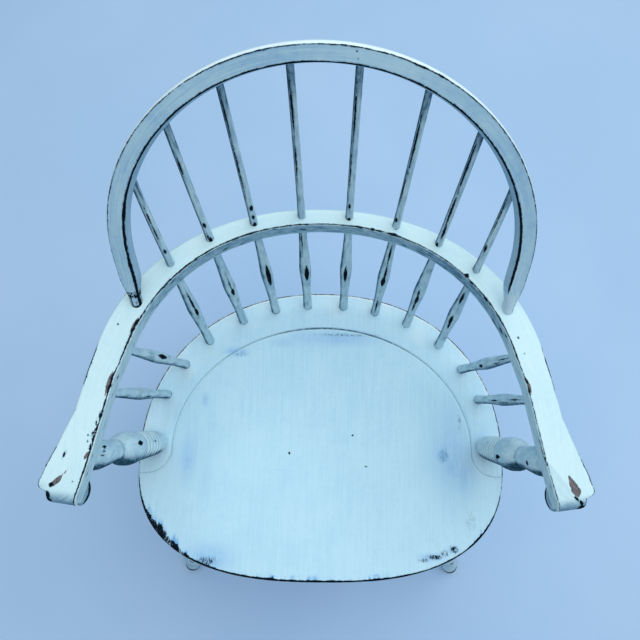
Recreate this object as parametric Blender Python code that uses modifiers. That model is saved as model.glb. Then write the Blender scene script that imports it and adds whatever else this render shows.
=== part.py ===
"""Sack-back windsor armchair, built piece by piece.

Metres, +Z up, the sitter faces -Y, +X is the right side as seen from the front.
Every round end sits in a socket that is cut with a slightly larger copy of the same piece.
"""
import math

import bmesh
import bpy
from mathutils import Matrix, Vector
from mathutils.geometry import interpolate_bezier

# Fit of every tenon in its socket and of every glue line
JOINT_CLEARANCE = 0.0003

# Seat board: a superellipse about its widest line, which is y = 0 while modelling
SEAT_HEIGHT = 0.445
SEAT_THICKNESS = 0.040
SEAT_WIDTH = 0.505
SEAT_BACK_REACH = 0.235
SEAT_FRONT_REACH = 0.164
SEAT_BACK_FULLNESS = 2.15
SEAT_FRONT_FULLNESS = 2.6
SEAT_TOP_ROUND = 0.005
SEAT_UNDER_CHAMFER = 0.014
SEAT_OUTLINE_POINTS = 72
SADDLE_WIDTH = 0.37
SADDLE_LENGTH = 0.29
SADDLE_DEPTH = 0.008
SADDLE_CENTER_Y = -0.004
GUTTER_SIDE_INSET = 0.0440
GUTTER_BACK_INSET = 0.0525
GUTTER_WIDTH = 0.004
GUTTER_DEPTH = 0.0015
GUTTER_FLARE_RADIUS = 0.033
GUTTER_TURN_Y = 0.0087

# Arm rail: centre line in plan, a curve round the back and a straight flare to each hand
ARM_TOP = 0.692
ARM_THICKNESS = 0.025
ARM_BACK_Y = 0.2575
ARM_SHOULDER_X = 0.2240
ARM_SHOULDER_Y = 0.1075
ARM_TIP_X = 0.2725
ARM_TIP_Y = -0.0570
ARM_BACK_HANDLE = 0.120
ARM_SHOULDER_HANDLE = 0.090
ARM_BACK_HALF = 0.0095
ARM_CHAMFER = 0.0012
ARM_EDGE_CHAMFER = 0.0025
# Half widths of the flare, (share of its length, metres), and of the hand, (metres behind its front, metres)
FLARE_IN = ((0.0, 0.0160), (0.20, 0.0150), (0.45, 0.0185), (0.65, 0.0215), (0.90, 0.0235), (1.0, 0.0235))
FLARE_OUT = ((0.0, 0.0155), (0.20, 0.0145), (0.45, 0.0112), (0.65, 0.0145), (0.80, 0.0182))
HAND_OUT = ((0.0215, 0.0190), (0.0185, 0.0183), (0.0150, 0.0140), (0.0115, 0.0098), (0.0092, 0.0070),
            (0.0060, 0.0058), (0.0025, 0.0050), (0.0, 0.0030))
HAND_SETBACK = 0.003
HAND_SKEW = 0.15
HAND_SKEW_OUT = -0.009
HAND_SKEW_LENGTH = 0.060
HAND_ROLL_RADIUS = 0.014
HAND_ROLL_WIDTH = 0.0285
SCROLL_RADIUS = 0.0135
SCROLL_DROP = 0.020

# Bow: two straight feet and half an ellipse, in a plane that leans back from the arm rail
BOW_LEAN = math.radians(27.6)
BOW_SPAN = 0.404
BOW_FOOT_Y = 0.1552
BOW_STRAIGHT = 0.0686
BOW_RISE = 0.2281
BOW_FACE_WIDTH = 0.0152
BOW_WIDTH = 0.0165
BOW_DEPTH = 0.013
BOW_INNER_SPLAY = 0.0045
BOW_TENON_RADIUS = 0.0062
BOW_TENON_LENGTH = 0.016
BOW_TAPER_LENGTH = 0.040

# Spindles: places round the seat (degrees from the back), along the arm and round the bow
SPINDLE_INSET = 0.0185
SPINDLE_SEAT_DEPTH = 0.020
LONG_SEAT_ANGLES = (5.4, 16.4, 28.7, 43.3)
LONG_ARM_STATIONS = (0.0765, 0.241, 0.415, 0.600)
LONG_BOW_ANGLES = (7.9, 25.0, 42.0, 60.0)
SHORT_SEAT_ANGLES = (56.0, 69.0)
SHORT_ARM_STATIONS = (0.0, 0.304)
SHORT_ARM_DEPTH = 0.014
SPINDLE_SEAT_RADIUS = 0.0062
SPINDLE_NECK_RADIUS = 0.0056
SPINDLE_NECK_AT = 0.22
SPINDLE_BULGE_RADIUS = 0.0079
SPINDLE_BULGE_AT = 0.53
SPINDLE_ARM_RADIUS = 0.0045
SPINDLE_UPPER_RADIUS = 0.0040
SPINDLE_UPPER_AT = 0.16
SPINDLE_TOP_RADIUS = 0.0033

# Arm posts: foot, ringed neck, bulb and flared top, as shares of the height between seat and arm
POST_INSET = 0.026
POST_SEAT_ANGLE = 86.0
POST_ARM_STATION = 0.7275
POST_SEAT_DEPTH = 0.022
POST_ARM_DEPTH = 0.014
POST_TENON_RADIUS = 0.0085
POST_SHAPE = ((0.005, 0.0100), (0.02, 0.0122), (0.05, 0.0148), (0.10, 0.0162), (0.16, 0.0170),
              (0.30, 0.0187), (0.38, 0.0201), (0.475, 0.0207), (0.54, 0.0190), (0.585, 0.0150),
              (0.61, 0.0118), (0.62, 0.0134), (0.65, 0.0136), (0.66, 0.0128), (0.72, 0.0152),
              (0.82, 0.0172), (0.92, 0.0158), (0.985, 0.0135))
POST_GROOVES = (0.17, 0.21, 0.25, 0.29)
POST_GROOVE_HALF = 0.009
POST_GROOVE_DEPTH = 0.0012

# Legs and stretchers, below the seat
FRONT_LEG_TOP = (0.165, -0.080)
FRONT_FOOT = (0.249, -0.192)
REAR_LEG_TOP = (0.150, 0.140)
REAR_FOOT = (0.215, 0.268)
LEG_SEAT_DEPTH = 0.026
LEG_TOP_RADIUS = 0.0115
LEG_NECK_RADIUS = 0.0120
LEG_BULB_RADIUS = 0.0215
LEG_COVE_RADIUS = 0.0125
LEG_RING_RADIUS = 0.0168
LEG_SWELL_RADIUS = 0.0195
LEG_ANKLE_RADIUS = 0.0130
LEG_FOOT_RADIUS = 0.0152
FLOOR_TRIM = 0.020
STRETCHER_HEIGHT = 0.185
STRETCHER_END_RADIUS = 0.0080
STRETCHER_MIDDLE_RADIUS = 0.0128
STRETCHER_SOCKET_DEPTH = 0.013

# Fineness of round forms
TURNED_SIDES = 14
SPINDLE_SIDES = 10
SPINDLE_BEVEL_RESOLUTION = 3

# Paint and worn wood colours, linear RGB
SEAT_PAINT = (0.62, 0.78, 0.88)
RAIL_PAINT = (0.74, 0.86, 0.90)
BOW_PAINT = (0.52, 0.66, 0.74)
TURNED_PAINT = (0.48, 0.60, 0.66)
PAINT_ROUGHNESS = 0.55


# Scene, collections, materials

def clear_scene():
    for obj in list(bpy.data.objects):
        bpy.data.objects.remove(obj, do_unlink=True)


def new_collection(name, parent):
    collection = bpy.data.collections.new(name)
    parent.children.link(collection)
    return collection


def paint(name, color):
    material = bpy.data.materials.new(name)
    material.use_nodes = True
    shader = material.node_tree.nodes["Principled BSDF"]
    shader.inputs["Base Color"].default_value = (*color, 1.0)
    shader.inputs["Roughness"].default_value = PAINT_ROUGHNESS
    shader.inputs["Metallic"].default_value = 0.0
    return material


clear_scene()
PARTS = new_collection("windsor_armchair", bpy.context.scene.collection)
CUTTERS = new_collection("cutters", bpy.context.scene.collection)
ROOT = bpy.data.objects.new("chair_root", None)
PARTS.objects.link(ROOT)


def add_piece(obj, color):
    """Make an object one of the chair's pieces."""
    PARTS.objects.link(obj)
    obj.parent = ROOT
    obj.data.materials.append(paint(obj.name + "_paint", color))
    return obj


def cutter_set(name):
    return new_collection(name, CUTTERS)


def add_cutter(obj, *sets):
    """Make an object a cutter of one or more sets."""
    obj.parent = ROOT
    obj.hide_render = True
    obj.display_type = "WIRE"
    for cutters in sets:
        cutters.objects.link(obj)
    return obj


def cut_with(piece, cutters):
    boolean = piece.modifiers.new("sockets", "BOOLEAN")
    boolean.operation = "DIFFERENCE"
    boolean.solver = "EXACT"
    boolean.operand_type = "COLLECTION"
    boolean.collection = cutters
    return boolean


# Shapes that several pieces share

def mesh_object(name, mesh, smooth_angle=35.0):
    mesh.shade_smooth()
    mesh.set_sharp_from_angle(angle=math.radians(smooth_angle))
    return bpy.data.objects.new(name, mesh)


def curve_to_mesh_object(curve_obj):
    """Replace a curve object by a mesh object of the same name and place, with its caps welded."""
    bpy.context.scene.collection.objects.link(curve_obj)
    bpy.context.view_layer.update()
    evaluated = curve_obj.evaluated_get(bpy.context.evaluated_depsgraph_get())
    mesh = bpy.data.meshes.new_from_object(evaluated)
    name = curve_obj.name
    matrix = curve_obj.matrix_world.copy()
    bpy.data.objects.remove(curve_obj, do_unlink=True)
    weld = bmesh.new()
    weld.from_mesh(mesh)
    bmesh.ops.remove_doubles(weld, verts=weld.verts, dist=1e-6)
    bmesh.ops.recalc_face_normals(weld, faces=weld.faces)
    weld.to_mesh(mesh)
    weld.free()
    obj = mesh_object(name, mesh)
    obj.matrix_world = matrix
    return obj


def turned(name, profile, base, top, sides=TURNED_SIDES):
    """A turned piece: (height, radius) pairs from base upwards, spun about the line base to top."""
    mesh = bpy.data.meshes.new(name)
    highest, lowest = profile[-1][0], profile[0][0]
    points = [(0.0, 0.0, highest)]
    points += [(radius, 0.0, height) for height, radius in reversed(profile)]
    points.append((0.0, 0.0, lowest))
    mesh.from_pydata(points, [(i, i + 1) for i in range(len(points) - 1)], [])
    obj = bpy.data.objects.new(name, mesh)
    screw = obj.modifiers.new("turn", "SCREW")
    screw.axis = "Z"
    screw.steps = sides
    screw.render_steps = sides
    screw.use_merge_vertices = True
    screw.merge_threshold = 0.00001
    screw.use_smooth_shade = True
    obj.location = base
    obj.rotation_mode = "QUATERNION"
    obj.rotation_quaternion = Vector((0.0, 0.0, 1.0)).rotation_difference(top - base)
    return obj


def grown(profile, extra):
    """The same profile with its radius and both ends larger by a clearance."""
    larger = [(height, radius + extra) for height, radius in profile]
    larger[0] = (larger[0][0] - extra, larger[0][1])
    larger[-1] = (larger[-1][0] + extra, larger[-1][1])
    return larger


def loft(name, rings):
    """A closed body through rings of equal length, with a flat cap at each end."""
    work = bmesh.new()
    loops = [[work.verts.new(point) for point in ring] for ring in rings]
    count = len(rings[0])
    for near, far in zip(loops, loops[1:]):
        for i in range(count):
            k = (i + 1) % count
            work.faces.new((near[i], near[k], far[k], far[i]))
    work.faces.new(loops[0])
    work.faces.new(loops[-1])
    bmesh.ops.recalc_face_normals(work, faces=work.faces)
    mesh = bpy.data.meshes.new(name)
    work.to_mesh(mesh)
    work.free()
    return mesh_object(name, mesh)


def flat_outline(name, points, thickness):
    """A flat board with the given outline, centred on z = 0, as a mesh object with plain flat faces."""
    curve = bpy.data.curves.new(name, "CURVE")
    curve.dimensions = "2D"
    curve.fill_mode = "BOTH"
    curve.extrude = thickness / 2
    spline = curve.splines.new("POLY")
    spline.points.add(len(points) - 1)
    for target, (x, y) in zip(spline.points, points):
        target.co = (x, y, 0.0, 1.0)
    spline.use_cyclic_u = True
    obj = curve_to_mesh_object(bpy.data.objects.new(name, curve))
    work = bmesh.new()
    work.from_mesh(obj.data)
    flat = math.radians(0.5)
    bmesh.ops.dissolve_limit(work, angle_limit=flat, verts=work.verts, edges=work.edges)
    work.to_mesh(obj.data)
    work.free()
    return obj


def tube(name, path, radii):
    """A round rod of changing radius along a path of points."""
    curve = bpy.data.curves.new(name, "CURVE")
    curve.dimensions = "3D"
    curve.bevel_depth = 1.0
    curve.bevel_resolution = SPINDLE_BEVEL_RESOLUTION
    curve.use_fill_caps = True
    spline = curve.splines.new("POLY")
    spline.points.add(len(path) - 1)
    origin = path[0]
    for target, point, radius in zip(spline.points, path, radii):
        target.co = (*(point - origin), 1.0)
        target.radius = radius
    obj = bpy.data.objects.new(name, curve)
    obj.location = origin
    return curve_to_mesh_object(obj)


# Places on the seat, the arm rail and the bow

def seat_curve(angle, inset=0.0):
    """Point on the seat's outline, moved inwards; 0 degrees is the back, 180 the front."""
    s, c = math.sin(math.radians(angle)), math.cos(math.radians(angle))
    back = c >= 0
    fullness = SEAT_BACK_FULLNESS if back else SEAT_FRONT_FULLNESS
    reach = (SEAT_BACK_REACH if back else SEAT_FRONT_REACH) - inset
    power = 2.0 / fullness
    x = math.copysign(abs(s) ** power, s) * (SEAT_WIDTH / 2 - inset)
    y = math.copysign(abs(c) ** power, c) * reach
    return x, y


def seat_point(angle, inset):
    return Vector((*seat_curve(angle, inset), SEAT_HEIGHT))


ARM_MIDDLE = ARM_TOP - ARM_THICKNESS / 2
ARM_UNDERSIDE = ARM_TOP - ARM_THICKNESS
SHOULDER = Vector((ARM_SHOULDER_X, ARM_SHOULDER_Y, ARM_MIDDLE))
TIP = Vector((ARM_TIP_X, ARM_TIP_Y, ARM_MIDDLE))
ARM_FLARE = (TIP - SHOULDER).normalized()
BACK = Vector((0.0, ARM_BACK_Y, ARM_MIDDLE))
BACK_HANDLE = BACK + Vector((ARM_BACK_HANDLE, 0.0, 0.0))
SHOULDER_HANDLE = SHOULDER - ARM_FLARE * ARM_SHOULDER_HANDLE
ARM_BEZIER = (BACK, BACK_HANDLE, SHOULDER_HANDLE, SHOULDER)


def arm_bend_point(station):
    """Point on the bent part of the arm's centre line, 0 at the back and 1 at the shoulder."""
    a, b, c, d = ARM_BEZIER
    t, r = station, 1.0 - station
    return a * r ** 3 + b * 3 * r * r * t + c * 3 * r * t * t + d * t ** 3


def arm_flare_point(station):
    """Point on the straight part of the arm's centre line, 0 at the shoulder and 1 at the tip."""
    return SHOULDER.lerp(TIP, station)


BOW_HALF_WIDTH = BOW_SPAN / 2
BOW_UP = Vector((0.0, math.sin(BOW_LEAN), math.cos(BOW_LEAN)))
BOW_BACKWARD = Vector((0.0, math.cos(BOW_LEAN), -math.sin(BOW_LEAN)))


def bow_place(x, up):
    """Point in the bow's plane; up is measured along the plane from the arm's top face."""
    return Vector((x, BOW_FOOT_Y, ARM_TOP)) + BOW_UP * up


def bow_arch(angle):
    """Point on the arch and the way out from it; 0 degrees is the crown, 90 the top of a foot."""
    s, c = math.sin(math.radians(angle)), math.cos(math.radians(angle))
    point = bow_place(BOW_HALF_WIDTH * s, BOW_STRAIGHT + BOW_RISE * c)
    outward = Vector((s / BOW_HALF_WIDTH, 0.0, 0.0)) + BOW_UP * (c / BOW_RISE)
    return point, outward.normalized()


def mirrored(point):
    return Vector((-point.x, point.y, point.z))


# Seat

def seat_outline():
    step = 360.0 / SEAT_OUTLINE_POINTS
    return [seat_curve(-180.0 + step * i) for i in range(SEAT_OUTLINE_POINTS)]


def make_seat(sockets):
    seat = flat_outline("seat", seat_outline(), SEAT_THICKNESS)
    seat.location = (0.0, 0.0, SEAT_HEIGHT - SEAT_THICKNESS / 2)
    half = SEAT_THICKNESS / 2
    work = bmesh.new()
    work.from_mesh(seat.data)
    for level, offset, segments in ((half, SEAT_TOP_ROUND, 2), (-half, SEAT_UNDER_CHAMFER, 1)):
        rim = [e for e in work.edges if all(abs(v.co.z - level) < half / 10 for v in e.verts)]
        bmesh.ops.bevel(work, geom=rim, offset=offset, segments=segments, profile=0.5, affect="EDGES")
    work.to_mesh(seat.data)
    work.free()
    seat.data.shade_smooth()
    seat.data.set_sharp_from_angle(angle=math.radians(35.0))
    add_piece(seat, SEAT_PAINT)
    carving = cutter_set("seat_carving")
    add_cutter(saddle_cutter(), carving)
    add_cutter(gutter_cutter(), carving)
    cut_with(seat, carving)
    cut_with(seat, sockets)
    return seat


def saddle_cutter():
    """A flattened ball that scoops the shallow saddle out of the deck."""
    ball_height = SADDLE_DEPTH * 8
    share = math.sqrt(1.0 - ((ball_height - SADDLE_DEPTH) / ball_height) ** 2)
    mesh = bpy.data.meshes.new("saddle_cutter")
    work = bmesh.new()
    size = Matrix.Diagonal((SADDLE_WIDTH / 2 / share, SADDLE_LENGTH / 2 / share, ball_height, 1.0))
    bmesh.ops.create_uvsphere(work, u_segments=40, v_segments=40, radius=1.0, matrix=size)
    work.to_mesh(mesh)
    work.free()
    ball = mesh_object("saddle_cutter", mesh)
    ball.location = (0.0, SADDLE_CENTER_Y, SEAT_HEIGHT + ball_height - SADDLE_DEPTH)
    return ball


def gutter_path():
    """Half an ellipse behind the sitter, turning out to the seat's edge in front of each arm post."""
    half_width = SEAT_WIDTH / 2 - GUTTER_SIDE_INSET
    reach = SEAT_BACK_REACH - GUTTER_BACK_INSET - GUTTER_TURN_Y
    turn = Vector((half_width + GUTTER_FLARE_RADIUS, GUTTER_TURN_Y, 0.0))
    right = []
    for i in range(14):
        angle = math.radians(90.0 * i / 14)
        along = GUTTER_TURN_Y + reach * math.cos(angle)
        right.append(Vector((half_width * math.sin(angle), along, 0.0)))
    for i in range(7):
        angle = math.radians(180.0 + 90.0 * i / 6)
        right.append(turn + Vector((math.cos(angle), math.sin(angle), 0.0)) * GUTTER_FLARE_RADIUS)
    right.append(right[-1] + Vector((SEAT_WIDTH / 4, 0.0, 0.0)))
    left = [mirrored(point) for point in reversed(right[1:])]
    return left + right


def gutter_cutter():
    """A thin rod laid along the gutter, sunk into the deck by the groove's depth."""
    radius = (GUTTER_WIDTH ** 2 / 4 + GUTTER_DEPTH ** 2) / (2 * GUTTER_DEPTH)
    path = gutter_path()
    rod = tube("gutter_cutter", path, [radius] * len(path))
    rod.location.z = SEAT_HEIGHT + radius - GUTTER_DEPTH
    return rod


# Arm rail and its hand-holds

def linear(pairs, place):
    """Value at a place on straight lines between (place, value) pairs of rising place."""
    if place <= pairs[0][0]:
        return pairs[0][1]
    for (low, first), (high, second) in zip(pairs, pairs[1:]):
        if place <= high:
            return mix(first, second, (place - low) / (high - low))
    return pairs[-1][1]


def arm_section(center, outward, half_in, half_out, top, forward=Vector((0.0, 0.0, 0.0))):
    """Eight corners of the rail's section; forward moves its outer end ahead on the skewed hand."""
    edge = min(ARM_EDGE_CHAMFER, (top - ARM_UNDERSIDE) / 3)
    bottom = ARM_UNDERSIDE
    corners = ((-half_in + edge, bottom), (-half_in, bottom + edge),
               (-half_in, top - ARM_CHAMFER), (-half_in + ARM_CHAMFER, top),
               (half_out - edge, top), (half_out, top - edge),
               (half_out, bottom + edge), (half_out - edge, bottom))
    level = Vector((center.x, center.y, 0.0))
    section = []
    for out, z in corners:
        section.append(level + outward * out + forward * (out - HAND_SKEW_OUT) + Vector((0.0, 0.0, z)))
    return section


def sideways(direction):
    """The level direction to the left of a heading, away from the sitter on this rail."""
    return Vector((-direction.y, direction.x, 0.0)).normalized()


def smooth_step(t):
    return t * t * (3.0 - 2.0 * t)


def mix(a, b, t):
    return a + (b - a) * t


HAND_LENGTH = (TIP - SHOULDER).length - HAND_SETBACK


def flare_section(along):
    """Section of the flare at a distance from the shoulder, with the rolled and skewed hand at its end."""
    share = along / HAND_LENGTH
    behind = HAND_LENGTH - along
    half_out = linear(FLARE_OUT, share)
    if behind <= HAND_OUT[0][0]:
        half_out = linear(HAND_OUT[::-1], behind)
    rolled = max(0.0, HAND_ROLL_RADIUS - behind)
    top = ARM_TOP - HAND_ROLL_RADIUS + math.sqrt(HAND_ROLL_RADIUS ** 2 - rolled ** 2)
    skew = HAND_SKEW * smooth_step(min(max(1.0 - (behind - HAND_OUT[0][0]) / HAND_SKEW_LENGTH, 0.0), 1.0))
    center = SHOULDER + ARM_FLARE * along
    return arm_section(center, sideways(ARM_FLARE), linear(FLARE_IN, share), half_out, top, ARM_FLARE * skew)


def arm_right_sections():
    """Sections from the middle of the back to the right hand."""
    sections = []
    bend_steps, flare_steps, roll_steps = 16, 8, 4
    points = interpolate_bezier(*ARM_BEZIER, bend_steps + 1)
    for i, point in enumerate(points):
        ahead = points[min(i + 1, bend_steps)] - points[max(i - 1, 0)]
        heading = Vector((1.0, 0.0, 0.0)) if i == 0 else ahead
        share = smooth_step(i / bend_steps)
        half_in = mix(ARM_BACK_HALF, FLARE_IN[0][1], share)
        half_out = mix(ARM_BACK_HALF, FLARE_OUT[0][1], share)
        sections.append(arm_section(point, sideways(heading), half_in, half_out, ARM_TOP))
    wing = HAND_LENGTH - HAND_OUT[0][0]
    places = [wing * i / flare_steps for i in range(1, flare_steps + 1)]
    places += [HAND_LENGTH - behind for behind, _ in HAND_OUT[1:-3]]
    for i in range(roll_steps + 1):
        lift = HAND_ROLL_RADIUS * (1.0 - math.sin(math.radians(mix(35.0, 90.0, i / roll_steps))))
        places.append(HAND_LENGTH - lift)
    sections += [flare_section(along) for along in places]
    return sections


def make_arm_rail(sockets):
    right = arm_right_sections()
    left = [[mirrored(point) for point in ring] for ring in reversed(right[1:])]
    rail = add_piece(loft("arm_rail", left + right), RAIL_PAINT)
    cut_with(rail, sockets)
    return rail


def make_hand_scroll(side, name):
    """The carved roll glued under an arm's end: a half-round block as wide as the roll above it."""
    arc_steps = 10
    drop = SCROLL_DROP - SCROLL_RADIUS
    outline = [(-SCROLL_RADIUS, 0.0)]
    for i in range(arc_steps + 1):
        turn = math.pi * i / arc_steps
        outline.append((-SCROLL_RADIUS * math.cos(turn), -drop - SCROLL_RADIUS * math.sin(turn)))
    outline.append((SCROLL_RADIUS, 0.0))
    block = flat_outline(name, outline, HAND_ROLL_WIDTH)
    middle_out = HAND_ROLL_WIDTH / 2 - FLARE_IN[-1][1]
    across = (sideways(ARM_FLARE) + ARM_FLARE * HAND_SKEW).normalized()
    heading = Vector((across.y, -across.x, 0.0))
    front = SHOULDER + ARM_FLARE * HAND_LENGTH + sideways(ARM_FLARE) * HAND_SKEW_OUT
    place = front - heading * SCROLL_RADIUS + across * (middle_out - HAND_SKEW_OUT)
    if side < 0:
        place = mirrored(place)
        heading = mirrored(heading)
    place.z = ARM_UNDERSIDE - JOINT_CLEARANCE
    up = Vector((0.0, 0.0, 1.0))
    axes = Matrix((heading, up, heading.cross(up))).transposed().to_4x4()
    block.matrix_world = Matrix.Translation(place) @ axes
    return add_piece(block, RAIL_PAINT)


# Bow

def bow_section():
    """(outward, backward) corners: flat face to the sitter, rounded outside and back, splayed inside."""
    face, side, deep = BOW_FACE_WIDTH / 2, BOW_WIDTH / 2, BOW_DEPTH / 2
    inner = face + BOW_INNER_SPLAY
    return ((face, -deep), (side, -deep * 0.75), (side * 0.93, -deep * 0.15), (side * 0.62, deep * 0.6),
            (side * 0.2, deep), (-face * 0.8, deep), (-inner, deep * 0.55), (-inner, deep * 0.15),
            (-face, -deep))


def bow_ring(center, outward, roundness):
    """One ring of the bow, between its own section (0) and the round tenon (1)."""
    ring = []
    for out, back in bow_section():
        angle = math.atan2(back, out)
        round_out, round_back = BOW_TENON_RADIUS * math.cos(angle), BOW_TENON_RADIUS * math.sin(angle)
        across = outward * mix(out, round_out, roundness)
        ring.append(center + across + BOW_BACKWARD * mix(back, round_back, roundness))
    return ring


def bow_rings():
    outward = Vector((1.0, 0.0, 0.0))
    right = []
    for angle_step in range(0, 25):
        point, way_out = bow_arch(90.0 * angle_step / 24)
        right.append(bow_ring(point, way_out, 0.0))
    shoulder = BOW_TENON_RADIUS * 0.65
    for up, roundness in ((BOW_TAPER_LENGTH, 0.0), (BOW_TAPER_LENGTH * 0.5, 0.45), (shoulder, 1.0)):
        right.append(bow_ring(bow_place(BOW_HALF_WIDTH, up), outward, roundness))
    right.append(bow_ring(bow_place(BOW_HALF_WIDTH, -BOW_TENON_LENGTH), outward, 1.0))
    left = [[mirrored(point) for point in ring] for ring in reversed(right[1:])]
    return left + right


def make_bow(sockets):
    bow = add_piece(loft("bow", bow_rings()), BOW_PAINT)
    cut_with(bow, sockets)
    return bow


def bow_foot_profile():
    reach = BOW_TENON_LENGTH + JOINT_CLEARANCE
    return [(-reach, BOW_TENON_RADIUS + JOINT_CLEARANCE), (reach, BOW_TENON_RADIUS + JOINT_CLEARANCE)]


def add_bow_foot_cutters(sockets):
    """Round sockets in the arm rail for the two feet of the bow."""
    for side in (-1, 1):
        base = bow_place(side * BOW_HALF_WIDTH, 0.0)
        add_cutter(turned("bow_foot_cutter", bow_foot_profile(), base, base + BOW_UP), sockets)


# Spindles and posts

def long_spindle_path(side, index):
    """Centre line: straight from the seat through the arm, then sprung back to meet the bow."""
    base = seat_point(LONG_SEAT_ANGLES[index], SPINDLE_INSET)
    middle = arm_bend_point(LONG_ARM_STATIONS[index])
    top, _ = bow_arch(LONG_BOW_ANGLES[index])
    rise = (middle - base) / (middle.z - base.z)
    sprung = top - (middle + rise * (top.z - middle.z))
    path, radii = [], []

    def add(point, radius):
        path.append(point if side > 0 else mirrored(point))
        radii.append(radius)

    lower = middle.z - base.z
    add(base - rise * SPINDLE_SEAT_DEPTH, SPINDLE_SEAT_RADIUS)
    for share, radius in spindle_swell():
        add(base + rise * (lower * share), radius)
    add(middle + rise * (ARM_THICKNESS * 0.8), SPINDLE_ARM_RADIUS)
    upper = top.z - middle.z
    steps = 8
    for i in range(1, steps + 1):
        share = mix(SPINDLE_UPPER_AT, 1.0, (i - 1) / (steps - 1))
        radius = mix(SPINDLE_UPPER_RADIUS, SPINDLE_TOP_RADIUS, (i - 1) / (steps - 1))
        add(middle + rise * (upper * share) + sprung * share ** 2, radius)
    return path, radii


def spindle_swell():
    """Shares of the way from seat to arm, with the radius there: neck, bulge and taper."""
    shoulder = (SPINDLE_BULGE_RADIUS + SPINDLE_NECK_RADIUS) / 2
    return ((0.0, SPINDLE_SEAT_RADIUS), (SPINDLE_NECK_AT, SPINDLE_NECK_RADIUS),
            (mix(SPINDLE_NECK_AT, SPINDLE_BULGE_AT, 0.6), shoulder),
            (SPINDLE_BULGE_AT, SPINDLE_BULGE_RADIUS),
            (mix(SPINDLE_BULGE_AT, 1.0, 0.55), mix(SPINDLE_BULGE_RADIUS, SPINDLE_ARM_RADIUS, 0.75)),
            (0.94, SPINDLE_ARM_RADIUS))


def widened(path, radii, extra):
    """A spindle's path and radii with a clearance all round and past both ends."""
    first = path[0] + (path[0] - path[1]).normalized() * extra
    last = path[-1] + (path[-1] - path[-2]).normalized() * extra
    return [first] + path[1:-1] + [last], [radius + extra for radius in radii]


def make_long_spindles(seat_sockets, arm_sockets, bow_sockets):
    count = len(LONG_SEAT_ANGLES)
    places = [(-1, i) for i in reversed(range(count))] + [(1, i) for i in range(count)]
    for number, (side, index) in enumerate(places, start=1):
        path, radii = long_spindle_path(side, index)
        name = "long_spindle_%d" % number
        add_piece(tube(name, path, radii), TURNED_PAINT)
        cutter = tube(name + "_cutter", *widened(path, radii, JOINT_CLEARANCE))
        add_cutter(cutter, seat_sockets, arm_sockets, bow_sockets)


def make_short_spindles(seat_sockets, arm_sockets):
    for index, place in enumerate(("rear", "front")):
        base = seat_point(SHORT_SEAT_ANGLES[index], SPINDLE_INSET)
        top = arm_flare_point(SHORT_ARM_STATIONS[index])
        axis = top - base
        under = axis.length * (ARM_UNDERSIDE - base.z) / axis.z
        end = axis.length * (ARM_UNDERSIDE + SHORT_ARM_DEPTH - base.z) / axis.z
        profile = [(-SPINDLE_SEAT_DEPTH, SPINDLE_SEAT_RADIUS)]
        profile += [(under * share, radius) for share, radius in spindle_swell()]
        profile.append((end, SPINDLE_ARM_RADIUS))
        for side, word in ((-1, "left"), (1, "right")):
            low, high = (base, top) if side > 0 else (mirrored(base), mirrored(top))
            name = "short_spindle_%s_%s" % (word, place)
            add_piece(turned(name, profile, low, high, SPINDLE_SIDES), TURNED_PAINT)
            cutter = turned(name + "_cutter", grown(profile, JOINT_CLEARANCE), low, high, SPINDLE_SIDES)
            add_cutter(cutter, seat_sockets, arm_sockets)


def post_profile(height):
    """Tenon, rounded foot, ringed neck, bulb, collar and flared top, from the seat up to the arm."""
    profile = [(-POST_SEAT_DEPTH, POST_TENON_RADIUS), (-0.004, POST_TENON_RADIUS)]
    places = [(share, radius) for share, radius in POST_SHAPE]
    for groove in POST_GROOVES:
        for share in (groove - POST_GROOVE_HALF, groove + POST_GROOVE_HALF):
            places.append((share, linear(POST_SHAPE, share)))
        places.append((groove, linear(POST_SHAPE, groove) - POST_GROOVE_DEPTH))
    profile += [(height * share, radius) for share, radius in sorted(places)]
    profile.append((height * 0.99, POST_TENON_RADIUS))
    return profile


def make_arm_posts(seat_sockets, arm_sockets):
    base = seat_point(POST_SEAT_ANGLE, POST_INSET)
    top = arm_flare_point(POST_ARM_STATION)
    axis = top - base
    under = axis.length * (ARM_UNDERSIDE - base.z) / axis.z
    profile = post_profile(under)
    profile.append((axis.length * (ARM_UNDERSIDE + POST_ARM_DEPTH - base.z) / axis.z, POST_TENON_RADIUS))
    for side, word in ((-1, "left"), (1, "right")):
        low, high = (base, top) if side > 0 else (mirrored(base), mirrored(top))
        name = "arm_post_" + word
        add_piece(turned(name, profile, low, high), TURNED_PAINT)
        cutter = turned(name + "_cutter", grown(profile, JOINT_CLEARANCE), low, high)
        add_cutter(cutter, seat_sockets, arm_sockets)


# Legs and stretchers

SEAT_UNDERSIDE = SEAT_HEIGHT - SEAT_THICKNESS


def leg_line(top_xy, foot_xy, side):
    foot = Vector((side * foot_xy[0], foot_xy[1], 0.0))
    top = Vector((side * top_xy[0], top_xy[1], SEAT_UNDERSIDE))
    return foot, top


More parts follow.
